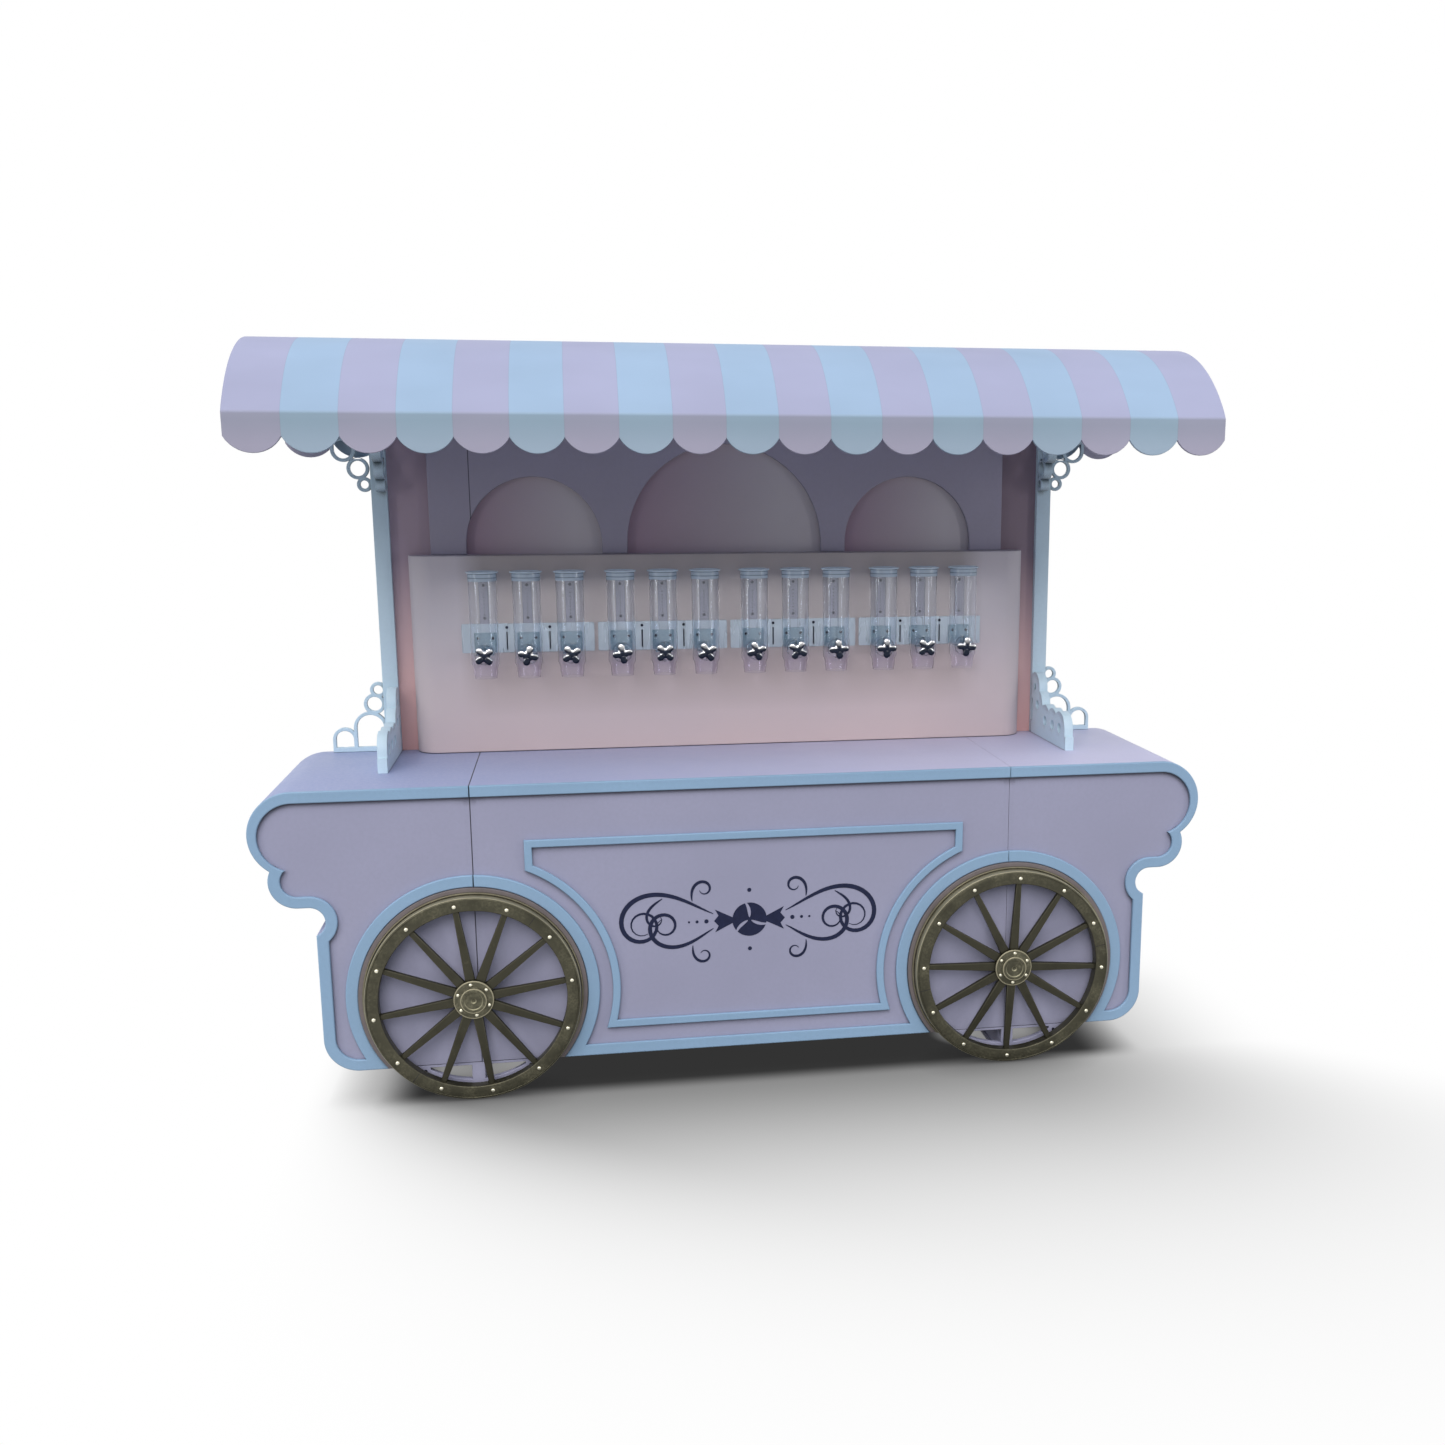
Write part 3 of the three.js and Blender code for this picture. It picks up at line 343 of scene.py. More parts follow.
class StageSettings(bpy.types.PropertyGroup):
    """Camera, light and floor."""

    lens: bpy.props.FloatProperty(
        name="Lens", description="Focal length of the camera", default=35.9, subtype="DISTANCE_CAMERA"
    )
    floor_half: length("Floor half width", "Half width of the floor", 60)
    # The floor's shadow, its dark under the cart and its light patches are painted on the floor
    shadow: share("Shadow", "Depth of the soft shadow at the cart's front", 0.76)
    shadow_reach: length("Shadow reach", "How far the soft shadow reaches forwards", 0.72)
    shadow_lean: share("Shadow lean", "How far the shadow leans to the right for its reach", 0.65)
    contact: length("Contact", "Reach of the dark where the cart meets the floor", 0.12)
    under: share("Under the cart", "Brightness of the floor under the cart", 0.046)
    under_light: share("Light under the cart", "Light that comes in behind the wheels", 0.45)
    sky: share("Sky", "Strength of the sky overhead", 0.44)
    key: share("Key light", "Strength of the lamp behind and above", 0.2)
    fill: share("Front light", "Strength of the lamp in front", 1.78)
    strip: share("Strip lights", "Power of each tall lamp at the sides, in watts", 60)


GROUPS = (
    ("cart_counter", CounterSizes),
    ("cart_skids", SkidSizes),
    ("cart_wheels", WheelSizes),
    ("cart_walls", WallSizes),
    ("cart_posts", PostSizes),
    ("cart_canopy", CanopySizes),
    ("cart_dispensers", DispenserSizes),
    ("cart_colours", CartColours),
    ("cart_stage", StageSettings),
)


# Outlines: lists of flat points, material on the left of each loop


def arc(a, b, radius, start, end, steps):
    """Points of an arc about (a, b), from one angle to another."""
    angles = [start + (end - start) * i / steps for i in range(steps + 1)]
    return [(a + radius * math.cos(angle), b + radius * math.sin(angle)) for angle in angles]


def circle(a, b, radius, steps):
    """Points of a full circle."""
    return arc(a, b, radius, 0, FULL_TURN, steps)[1:]


def rectangle(a0, a1, b0, b1):
    """Corners of a rectangle."""
    return [(a0, b0), (a1, b0), (a1, b1), (a0, b1)]


def rounded(a0, a1, b0, b1, radius, steps=3):
    """Outline of a rectangle with round corners."""
    return [
        *arc(a1 - radius, b0 + radius, radius, -QUARTER, 0, steps),
        *arc(a1 - radius, b1 - radius, radius, 0, QUARTER, steps),
        *arc(a0 + radius, b1 - radius, radius, QUARTER, math.pi, steps),
        *arc(a0 + radius, b0 + radius, radius, math.pi, math.pi + QUARTER, steps),
    ]


def mirrored(points, side):
    """The outline as it is, or mirrored for the left side."""
    return [(side * a, b) for a, b in points]


def wound(points, left=True):
    """The loop listed so that its inside is on the left, or on the right."""
    following = points[1:] + points[:1]
    area = sum(a[0] * b[1] - b[0] * a[1] for a, b in zip(points, following))
    return list(points) if (area > 0) == left else list(reversed(points))


def spaced(points, least=2e-5):
    """The loop without points that lie on the one before."""
    kept = [points[0]]
    for point in points[1:]:
        if math.dist(point, kept[-1]) > least:
            kept.append(point)
    if math.dist(kept[0], kept[-1]) <= least:
        kept.pop()
    return kept


def drawn_in(loop, distance, sharpest=0.25):
    """The loop moved towards its left by a distance, with mitred corners."""
    moved = []
    for before, here, after in zip(loop[-1:] + loop[:-1], loop, loop[1:] + loop[:1]):
        into = (Vector(here) - Vector(before)).normalized()
        out = (Vector(after) - Vector(here)).normalized()
        middle = Vector((-into.y - out.y, into.x + out.x))
        stretch = 2 * distance / max(middle.length_squared, sharpest)
        moved.append(tuple(Vector(here) + middle * stretch))
    return moved


def region(outlines, keeps):
    """Loops round the part of the plane that a rule keeps, given the outlines over each spot."""
    outlines = [wound(spaced(outline)) for outline in outlines]
    points = [Vector(point) for outline in outlines for point in outline]
    faces = []
    first = 0
    for outline in outlines:
        faces.append(list(range(first, first + len(outline))))
        first += len(outline)
    corners, _, triangles, _, _, owners = delaunay_2d_cdt(points, [], faces, 1, 1e-6)
    edges = set()
    for triangle, owner in zip(triangles, owners):
        if keeps(set(owner)):
            edges.update(zip(triangle, triangle[1:] + triangle[:1]))
    onward = {}
    for start, end in edges:
        if (end, start) not in edges:
            onward.setdefault(start, []).append(end)
    loops = []
    while onward:
        start = next(iter(onward))
        chain = [start]
        while True:
            ends = onward[chain[-1]]
            following = ends.pop()
            if not ends:
                del onward[chain[-1]]
            if following == start:
                break
            chain.append(following)
        loop = spaced([tuple(corners[i]) for i in chain])
        if len(loop) > 2:
            loops.append(loop)
    return loops


# Solids: closed shells added to a bmesh


def across(a, b, depth):
    """A point of an outline in the front's plane: along X, up Z, and back along Y."""
    return Vector((a, FRONT + depth, b))


def lengthwise(a, b, depth):
    """A point of an outline across the cart: back along Y, up Z, and along X."""
    return Vector((depth, FRONT + a, b))


def level(a, b, depth):
    """A point of a plan: along X, back along Y, and up Z."""
    return Vector((a, FRONT + b, depth))


def joined(bm, near, far):
    """Smooth faces between two rings of corners; a ring of one corner is a pole."""
    size = max(len(near), len(far))
    for i in range(size if size > 1 else 0):
        j = (i + 1) % size
        if len(near) == 1:
            corners = (near[0], far[j], far[i])
        elif len(far) == 1:
            corners = (near[i], near[j], far[0])
        else:
            corners = (near[i], near[j], far[j], far[i])
        bm.faces.new(corners).smooth = True


def slab(bm, loops, low, high, edge, place, steps=3):
    """A board between two depths with rounded edges; the first loop is its outline, the rest are holes."""
    loops = [wound(spaced(loop), i == 0) for i, loop in enumerate(loops)]
    slab_of_loops(bm, loops, low, high, edge, place, steps)


def slab_of_loops(bm, loops, low, high, edge, place, steps=3):
    """A board from loops that already have their material on the left."""
    turns = [QUARTER * i / steps for i in range(steps + 1)] if edge else [QUARTER]
    low_rings = [(edge * (1 - math.sin(t)), low + edge * (1 - math.cos(t))) for t in turns]
    rings = low_rings + [(inset, low + high - depth) for inset, depth in reversed(low_rings)]
    if not edge:
        rings = [(0, low), (0, high)]
    ends = {0: [], len(rings) - 1: []}
    for loop in loops:
        verts = []
        for inset, depth in rings:
            flat = drawn_in(loop, inset) if inset else loop
            verts.append([bm.verts.new(place(a, b, depth)) for a, b in flat])
        for near, far in zip(verts, verts[1:]):
            joined(bm, near, far)
        for end in ends:
            ends[end].append((drawn_in(loop, rings[end][0]) if rings[end][0] else loop, verts[end]))
    for end, outlines in ends.items():
        flat = [[Vector((a, b, 0)) for a, b in points] for points, _ in outlines]
        corners = [vert for _, verts in outlines for vert in verts]
        for a, b, c in tessellate_polygon(flat):
            trio = (corners[a], corners[b], corners[c])
            area = (flat_at(flat, b) - flat_at(flat, a)).cross(flat_at(flat, c) - flat_at(flat, a)).z
            if (area > 0) != bool(end):
                trio = trio[::-1]
            if len(set(trio)) == 3 and not bm.faces.get(trio):
                face = bm.faces.new(trio)
                face.smooth = False
                face.material_index = 0
        for _, verts in outlines:
            for i, vert in enumerate(verts):
                rim = bm.edges.get((vert, verts[(i + 1) % len(verts)]))
                if rim:
                    rim.smooth = False


def flat_at(loops, index):
    """The point that a running number names in a list of loops."""
    for loop in loops:
        if index < len(loop):
            return loop[index]
        index -= len(loop)
    raise IndexError("no such point")


def turned_solid(bm, profile, segments, place, closed=False):
    """A shell of revolution; a profile of (radius, height) runs from axis to axis or closes on itself."""
    rings = []
    for radius, height in profile:
        flat = circle(0, 0, radius, segments) if radius > 1e-6 else [(0, 0)]
        rings.append([bm.verts.new(place(a, b, height)) for a, b in flat])
    for near, far in zip(rings, rings[1:] + rings[: int(closed)]):
        joined(bm, near, far)


def stepped(corners, radius, steps=3):
    """A profile whose inner corners are rounded; its first and last points stay."""
    profile = [corners[0]]
    for before, here, after in zip(corners, corners[1:], corners[2:]):
        a = Vector(before) - Vector(here)
        b = Vector(after) - Vector(here)
        reach = min(radius, a.length / 2, b.length / 2)
        start = Vector(here) + a.normalized() * reach
        end = Vector(here) + b.normalized() * reach
        for i in range(steps + 1):
            t = i / steps
            point = start * (1 - t) ** 2 + Vector(here) * (2 * t * (1 - t)) + end * t ** 2
            profile.append(tuple(point))
    profile.append(corners[-1])
    return profile


def about(x, z, front):
    """Places a turned profile with its axis along Y; heights grow towards the front."""
    return lambda a, b, height: Vector((x + a, FRONT + front - height, z + b))


def upright(x, y):
    """Places a turned profile with its axis along Z, in the frame's own coordinates."""
    return lambda a, b, height: Vector((x + a, y + b, height))


# Finished meshes and pieces


def mesh_of(bm, name, corner=math.radians(38)):
    """The mesh of a finished bmesh: closed, facing outwards, smooth where it is round."""
    bmesh.ops.recalc_face_normals(bm, faces=bm.faces)
    bm.edges.index_update()
    flat_edges = {edge.index for edge in bm.edges if not edge.smooth}
    mesh = bpy.data.meshes.new(name)
    bm.to_mesh(mesh)
    bm.free()
    mesh.shade_smooth()
    mesh.set_sharp_from_angle(angle=corner)
    sharp = mesh.attributes.get("sharp_edge")
    if sharp is None:
        sharp = mesh.attributes.new("sharp_edge", "BOOLEAN", "EDGE")
    for index in flat_edges:
        sharp.data[index].value = True
    return mesh


def piece(name, shape, finish, body, slot, *nodes):
    """A piece of the cart from its mesh or bmesh, with its body and the nodes it stands for; the slot is not
    used.
    """
    mesh = mesh_of(shape, name) if isinstance(shape, bmesh.types.BMesh) else shape
    mesh.materials.clear()
    mesh.materials.append(finish_of(finish))
    thing = bpy.data.objects.new(name, mesh)
    bpy.context.scene.collection.objects.link(thing)
    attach(thing, body)
    if nodes:
        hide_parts(*nodes)


# Geometry Nodes trees for what repeats


def new_tree(name, inputs):
    """A node tree with a mesh output and the given named inputs."""
    tree = bpy.data.node_groups.new(name, "GeometryNodeTree")
    tree.interface.new_socket("Geometry", in_out="INPUT", socket_type="NodeSocketGeometry")
    for label, kind in inputs:
        tree.interface.new_socket(label, in_out="INPUT", socket_type=kind)
    tree.interface.new_socket("Geometry", in_out="OUTPUT", socket_type="NodeSocketGeometry")
    return tree, tree.nodes.new("NodeGroupInput"), tree.nodes.new("NodeGroupOutput")


def math_node(tree, operation, *values, kind="ShaderNodeMath"):
    """A math node with numbers or sockets at its inputs; gives its output."""
    node = tree.nodes.new(kind)
    node.operation = operation
    for socket, value in zip(node.inputs, values):
        if isinstance(value, bpy.types.NodeSocket):
            tree.links.new(value, socket)
        else:
            socket.default_value = value
    return node.outputs[0]


def mix_shaders(tree, factor, first, second, output):
    """Shows the second shader as far as the factor says, and otherwise the first."""
    choose = tree.nodes.new("ShaderNodeMixShader")
    for source, target in zip((factor, first.outputs[0], second.outputs[0]), choose.inputs):
        tree.links.new(source, target)
    tree.links.new(choose.outputs[0], tree.nodes[output].inputs["Surface"])


def close_tree(tree, given, out, points, rotation=None):
    """Copies the part onto the points, makes the copies real and sets their material."""
    info = tree.nodes.new("GeometryNodeObjectInfo")
    info.transform_space = "ORIGINAL"
    copies = tree.nodes.new("GeometryNodeInstanceOnPoints")
    real = tree.nodes.new("GeometryNodeRealizeInstances")
    finish = tree.nodes.new("GeometryNodeSetMaterial")
    tree.links.new(given.outputs["Part"], info.inputs["Object"])
    tree.links.new(points, copies.inputs["Points"])
    tree.links.new(info.outputs["Geometry"], copies.inputs["Instance"])
    if rotation is not None:
        tree.links.new(rotation, copies.inputs["Rotation"])
    tree.links.new(copies.outputs["Instances"], real.inputs["Geometry"])
    tree.links.new(real.outputs["Geometry"], finish.inputs["Geometry"])
    tree.links.new(given.outputs["Material"], finish.inputs["Material"])
    tree.links.new(finish.outputs["Geometry"], out.inputs["Geometry"])


def ring_tree():
    """Copies a part round a circle in the XZ plane, each turned to point outwards."""
    tree, given, out = new_tree("parts round a circle", (
        ("Part", "NodeSocketObject"),
        ("Count", "NodeSocketInt"),
        ("Radius", "NodeSocketFloat"),
        ("Turn", "NodeSocketFloat"),
        ("Centre", "NodeSocketVector"),
        ("Material", "NodeSocketMaterial"),
    ))
    index = tree.nodes.new("GeometryNodeInputIndex").outputs[0]
    step = math_node(tree, "DIVIDE", FULL_TURN, given.outputs["Count"])
    angle = math_node(tree, "MULTIPLY_ADD", index, step, given.outputs["Turn"])
    spot = tree.nodes.new("ShaderNodeCombineXYZ")
    for axis, wave in (("X", "COSINE"), ("Z", "SINE")):
        reach = math_node(tree, "MULTIPLY", math_node(tree, wave, angle), given.outputs["Radius"])
        tree.links.new(reach, spot.inputs[axis])
    place = math_node(tree, "ADD", spot.outputs[0], given.outputs["Centre"], kind="ShaderNodeVectorMath")
    points = tree.nodes.new("GeometryNodePoints")
    tree.links.new(given.outputs["Count"], points.inputs["Count"])
    tree.links.new(place, points.inputs["Position"])
    turn = tree.nodes.new("ShaderNodeCombineXYZ")
    tree.links.new(math_node(tree, "MULTIPLY", angle, -1), turn.inputs["Y"])
    close_tree(tree, given, out, points.outputs[0], turn.outputs[0])
    return tree


def row_tree():
    """Copies a part along a straight row."""
    tree, given, out = new_tree("parts in a row", (
        ("Part", "NodeSocketObject"),
        ("Count", "NodeSocketInt"),
        ("Start", "NodeSocketVector"),
        ("Step", "NodeSocketVector"),
        ("Material", "NodeSocketMaterial"),
    ))
    index = tree.nodes.new("GeometryNodeInputIndex").outputs[0]
    step, start = given.outputs["Step"], given.outputs["Start"]
    along = math_node(tree, "MULTIPLY_ADD", step, index, start, kind="ShaderNodeVectorMath")
    points = tree.nodes.new("GeometryNodePoints")
    tree.links.new(given.outputs["Count"], points.inputs["Count"])
    tree.links.new(along, points.inputs["Position"])
    close_tree(tree, given, out, points.outputs[0])
    return tree


def places_tree():
    """Copies a part onto every vertex of the carrier's mesh."""
    tree, given, out = new_tree("parts at places", (
        ("Part", "NodeSocketObject"),
        ("Material", "NodeSocketMaterial"),
    ))
    points = tree.nodes.new("GeometryNodeMeshToPoints")
    tree.links.new(given.outputs["Geometry"], points.inputs["Mesh"])
    close_tree(tree, given, out, points.outputs[0])
    return tree


def repeated(name, make_tree, part_mesh, finish, places=(), **values):
    """The plain mesh that a tree makes from a part, with the modifier and its carrier gone."""
    scene = bpy.context.scene
    tree = bpy.data.node_groups.get(make_tree.__name__) or make_tree()
    tree.name = make_tree.__name__
    part = bpy.data.objects.new("part", part_mesh)
    carrier_mesh = bpy.data.meshes.new(name)
    carrier_mesh.from_pydata([tuple(place) for place in places], [], [])
    carrier = bpy.data.objects.new("carrier", carrier_mesh)
    scene.collection.objects.link(part)
    scene.collection.objects.link(carrier)
    modifier = carrier.modifiers.new("repeat", "NODES")
    modifier.node_group = tree
    values.update(Part=part, Material=finish_of(finish))
    for item in tree.interface.items_tree:
        if item.in_out == "INPUT" and item.name in values:
            modifier[item.identifier] = values[item.name]
    bpy.context.view_layer.update()
    graph = bpy.context.evaluated_depsgraph_get()
    mesh = bpy.data.meshes.new_from_object(carrier.evaluated_get(graph), depsgraph=graph)
    carrier.modifiers.clear()
    bpy.data.objects.remove(carrier)
    bpy.data.objects.remove(part)
    mesh.name = name
    return mesh


# Finishes


# Noise of the finishes: size, detail and roughness
CLOUDS, STRIPE_CLOUDS = (2.2, 3.0, 0.55), (1.7, 3.0, 0.55)
GRAIN, SPECKLES = (90, 2.0, 0.6), (420, 2.0, 0.7)
PEEL, STRIPE_PEEL, FILM_PEEL = (700, 1.0, 0.5), (420, 2.0, 0.5), (500, 2.0, 0.5)
PAINT_GLOSS, STRIPE_GLOSS = (14, 3.0, 0.6), (9, 3.0, 0.6)
PATCHES, BRUSHING, DIRT = (26, 5.0, 0.65), (160, 3.0, 0.6), (9, 4.0, 0.7)
METAL_MARKS, CHROME_MARKS, FILM_MARKS = (220, 3.0, 0.6), (60, 2.0, 0.5), (60, 3.0, 0.6)
FLOW, WANDER = (30, 2.0, 0.5), (30, 2.0, 0.5)
# Relief of the finishes: strength and depth
PAINT_RELIEF, STRIPE_RELIEF, FILM_RELIEF = (0.12, 0.0004), (0.15, 0.0005), (0.08, 0.0003)
BRONZE_RELIEF, METAL_RELIEF, CHROME_RELIEF = (0.2, 0.0005), (0.04, 0.0002), (0.02, 0.0002)
# The darker and lighter tone of uneven finishes, as shares of their colour
PAINT_SHARES, STRIPE_SHARES = (0.95, 1.05), (0.95, 1.06)
METAL_SHARES, FILM_SHARES = (0.93, 1.05), (0.85, 1.25)
# Dark under trims and edges: the way and the distance that it looks, and its range of openness
COVER_WAY, COVER_REACH, COVER_RANGE = (0.0, -0.5, 0.87), 0.028, (0.2, 0.64)
# The painted seam is dark up to the first distance from its line, and gone at the second
SEAM_RANGE = (0.001, 0.0021)


class Finish:
    """A material with a Principled shader, and short calls to add nodes before it."""

    def __init__(self, name):
        self.material = bpy.data.materials.new(name)
        self.material.use_nodes = True
        self.tree = self.material.node_tree
        self.shader = self.tree.nodes["Principled BSDF"]
        self.spot = self.tree.nodes.new("ShaderNodeTexCoord").outputs["Object"]

    def set(self, **values):
        """Sets plain values on the shader's own sockets; a low line stands for a space."""
        for key, value in values.items():
            self.shader.inputs[key.replace("_", " ")].default_value = value

    def node(self, kind, **options):
        """A node with its options set."""
        node = self.tree.nodes.new(kind)
        for key, value in options.items():
            setattr(node, key, value)
        return node

    def link(self, source, target):
        """A link from an output to an input."""
        self.tree.links.new(source, target)

    def noise(self, kind, stretch=(1, 1, 1)):
        """Noise over the object's coordinates, stretched along its axes."""
        mapping = self.node("ShaderNodeMapping")
        mapping.inputs["Scale"].default_value = stretch
        noise = self.node("ShaderNodeTexNoise")
        for key, value in zip(("Scale", "Detail", "Roughness"), kind):
            noise.inputs[key].default_value = value
        self.link(self.spot, mapping.inputs["Vector"])
        self.link(mapping.outputs[0], noise.inputs["Vector"])
        return noise.outputs[0]

    def spread(self, source, low, high, to_low=0, to_high=1):
        """A value taken from one range to another."""
        node = self.node("ShaderNodeMapRange")
        for key, value in (("From Min", low), ("From Max", high), ("To Min", to_low), ("To Max", to_high)):
            node.inputs[key].default_value = value
        self.link(source, node.inputs["Value"])
        return node.outputs[0]

    def blend(self, factor, first, second, kind="MIX"):
        """A colour between two colours, or the first one multiplied by the second."""
        node = self.node("ShaderNodeMix", data_type="RGBA", blend_type=kind)
        self.link(factor, node.inputs["Factor"])
        for socket, value in ((node.inputs[6], first), (node.inputs[7], second)):
            if isinstance(value, bpy.types.NodeSocket):
                self.link(value, socket)
            else:
                socket.default_value = (*value[:3], 1)
        return node.outputs[2]

    def varied(self, factor, base, tone_shares):
        """The base colour between two tones of it."""
        dark, light = (tinted(base, tone_share) for tone_share in tone_shares)
        return self.blend(factor, dark, light)

    def math(self, operation, *values):
        """A math node with numbers or sockets at its inputs; gives its output."""
        return math_node(self.tree, operation, *values)

    def product(self, first, second):
        """Two values multiplied."""
        return self.math("MULTIPLY", first, second)

    def parts(self, source=None):
        """The X, Y and Z of a vector, or of the spot on the object."""
        node = self.node("ShaderNodeSeparateXYZ")
        self.link(self.spot if source is None else source, node.inputs[0])
        return node.outputs["X"], node.outputs["Y"], node.outputs["Z"]

    def bump(self, height, relief):
        """Small relief on the shader's normal."""
        node = self.node("ShaderNodeBump")
        for key, value in zip(("Strength", "Distance"), relief):
            node.inputs[key].default_value = value
        self.link(height, node.inputs["Height"])
        self.link(node.outputs[0], self.shader.inputs["Normal"])

    def done(self, tone, gloss, **values):
        """Sets the tone, the roughness and plain values; gives the material."""
        self.link(tone, self.shader.inputs["Base Color"])
        self.link(gloss, self.shader.inputs["Roughness"])
        self.set(**values)
        return self.material

    def sprayed(self, tone, low, high, sheen):
        """Ends a satin paint: uneven gloss between two roughnesses, and a fine peel."""
        self.bump(self.noise(PEEL), PAINT_RELIEF)
        gloss = self.spread(self.noise(PAINT_GLOSS), *MOST, low, high)
        return self.done(tone, gloss, Specular_IOR_Level=sheen)


def tinted(base, tone_share):
    """A colour made lighter or darker."""
    return tuple(min(1, part * tone_share) for part in base)


def shaded_under(finish, tone, base):
    """The tone, dark where a trim or edge above hides the light."""
    upward = finish.node("ShaderNodeCombineXYZ")
    for socket, value in zip(upward.inputs, COVER_WAY):
        socket.default_value = value
    cover = finish.node("ShaderNodeAmbientOcclusion", samples=6)
    cover.inputs["Distance"].default_value = COVER_REACH
    finish.link(upward.outputs[0], cover.inputs["Normal"])
    below = finish.spread(cover.outputs["AO"], *COVER_RANGE, 0.9, 0)
    return finish.blend(below, tone, tinted(base, 0.1))


def painted(name, base, roughness=0.5, left=None, seams=True):
    """Sprayed satin paint with soft clouds, of another colour at its left end if one is given: that colour
    is painted light.

    A dark line marks the left seam between two modules.
    """
    finish = Finish(name)
    x, _, _ = finish.parts()
    cloudy = finish.varied(finish.spread(finish.noise(CLOUDS), *MOST), base, PAINT_SHARES)
    # A left colour is painted light on the counter top's open left end
    if left:
        leftward = finish.spread(x, CENTRE_HIGH.x * 0.7, -CENTRE_HIGH.x * 1.3)
        cloudy = finish.blend(leftward, cloudy, left)
    grain = finish.spread(finish.noise(GRAIN), 0.35, 0.75, 0, 0.35)
    tone = finish.blend(grain, cloudy, tinted(base, 0.9))
    if seams:
        off = finish.math("ABSOLUTE", finish.math("ADD", x, SEAM_X))
        tone = finish.blend(finish.spread(off, *SEAM_RANGE, 0.85, 0), tone, tinted(base, 0.12))
    tone = shaded_under(finish, tone, base)
    return finish.sprayed(tone, roughness - 0.05, roughness + 0.06, 0.35)


def wall_painted(name, base, warm, low, high):
    """Satin paint with painted warm bounce light near the counter, and a painted shadow round the canisters.
    """
    finish = Finish(name)
    x, _, z = finish.parts()
    clouds = finish.spread(finish.noise(CLOUDS), *MOST, 0, 0.2)
    # Painted bounce light: warmer towards the counter
    level_tone = finish.blend(finish.spread(z, low, high), warm, base)
    cloudy = finish.blend(clouds, level_tone, tinted(base, 0.9))
    # Painted shadow of the canisters on the box, from a little below the plates upwards
    last = KNOB_PLACES["12"][0]
    within = finish.spread(finish.math("ABSOLUTE", x), last + 0.08, last)
    above = finish.spread(z, PLATE_LOW.z - 0.2, PLATE_LOW.z - 0.05, 0, 0.9)
    shade = finish.product(within, above)
    tone = finish.blend(shade, cloudy, (0.70, 0.67, 0.62), "MULTIPLY")
    return finish.sprayed(tone, 0.45, 0.58, 0.3)


def niche_painted(name, base, warm, shade, low, high):
    """Wall paint with painted shade towards the left of each niche and beside the board, warmer near the
    counter with painted bounce light, plain behind.
    """
    finish = Finish(name)
    x, y, z = finish.parts()
    height = finish.spread(z, low, high)
    # Painted bounce light: warmer towards the counter
    tone = finish.blend(height, warm, base)
    for middle, half in niche_places(bpy.context.scene.cart_walls):
        # Painted shade towards the left side of each niche
        inward = finish.spread(x, middle - half, middle + half * 0.6, 1, 0)
        within = finish.math("COMPARE", x, middle, half + 0.02)
        tone = finish.blend(finish.product(inward, within), tone, shade)
    # Painted shade beside the board, growing upwards and darkest at the right
    edge = (PANEL_HIGH.x - 0.02, PANEL_HIGH.x)
    beside = finish.spread(finish.math("ABSOLUTE", x), *edge, 0, 0.75)
    upward = finish.spread(z, low + 0.1, high)
    tone = finish.blend(finish.product(beside, upward), tone, shade)
    rightward = finish.product(finish.spread(x, *edge, 0, 0.45), upward)
    tone = finish.blend(rightward, tone, tinted(shade, 0.25))
    salmon = finish.product(beside, finish.spread(height, 0, 1, 1.3, 0))
    tone = finish.blend(salmon, tone, bpy.context.scene.cart_colours.salmon)
    behind = finish.math("GREATER_THAN", y, (WALL_LOW.y + WALL_HIGH.y) / 2)
    return finish.sprayed(finish.blend(behind, tone, base), 0.48, 0.6, 0.3)


def striped(name, first, second, width, half):
    """Matt paint in stripes along X, as the canopy's, with painted shade on the valance below the fold."""
    finish = Finish(name)
    x, _, z = finish.parts()
    wander = finish.spread(finish.noise(WANDER), 0, 1, -0.0006, 0.0006)
    along = finish.math("ADD", finish.math("ADD", x, wander), half)
    number = finish.math("DIVIDE", along, width)
    other = finish.math("GREATER_THAN", finish.math("MODULO", number, 2), 1)
    line = finish.spread(finish.math("PINGPONG", number, 0.5), 0, 0.012, 1, 0)
    clouds = finish.spread(finish.noise(STRIPE_CLOUDS, (1, 2, 2)), *MOST)
    one, two = (finish.varied(clouds, base, STRIPE_SHARES) for base in (first, second))
    stripes = finish.blend(other, one, two)
    lined = finish.blend(finish.product(line, 0.35), stripes, tinted(first, 0.72))
    # Painted shade: the valance below the fold darker than the roof, less so towards its lower edge
    fold = bpy.context.scene.cart_canopy.fold
    hanging = finish.spread(z, fold + 0.004, fold - 0.006)
    falling = finish.spread(z, fold - 0.02, CANOPY_LOW.z + 0.02)
    shade = finish.blend(falling, (0.83, 0.82, 0.75), (1.0, 0.93, 0.85))
    finish.bump(finish.noise(STRIPE_PEEL), STRIPE_RELIEF)
    gloss = finish.spread(finish.noise(STRIPE_GLOSS), *MOST, 0.56, 0.68)
    return finish.done(finish.blend(hanging, lined, shade, "MULTIPLY"), gloss, Specular_IOR_Level=0.3)


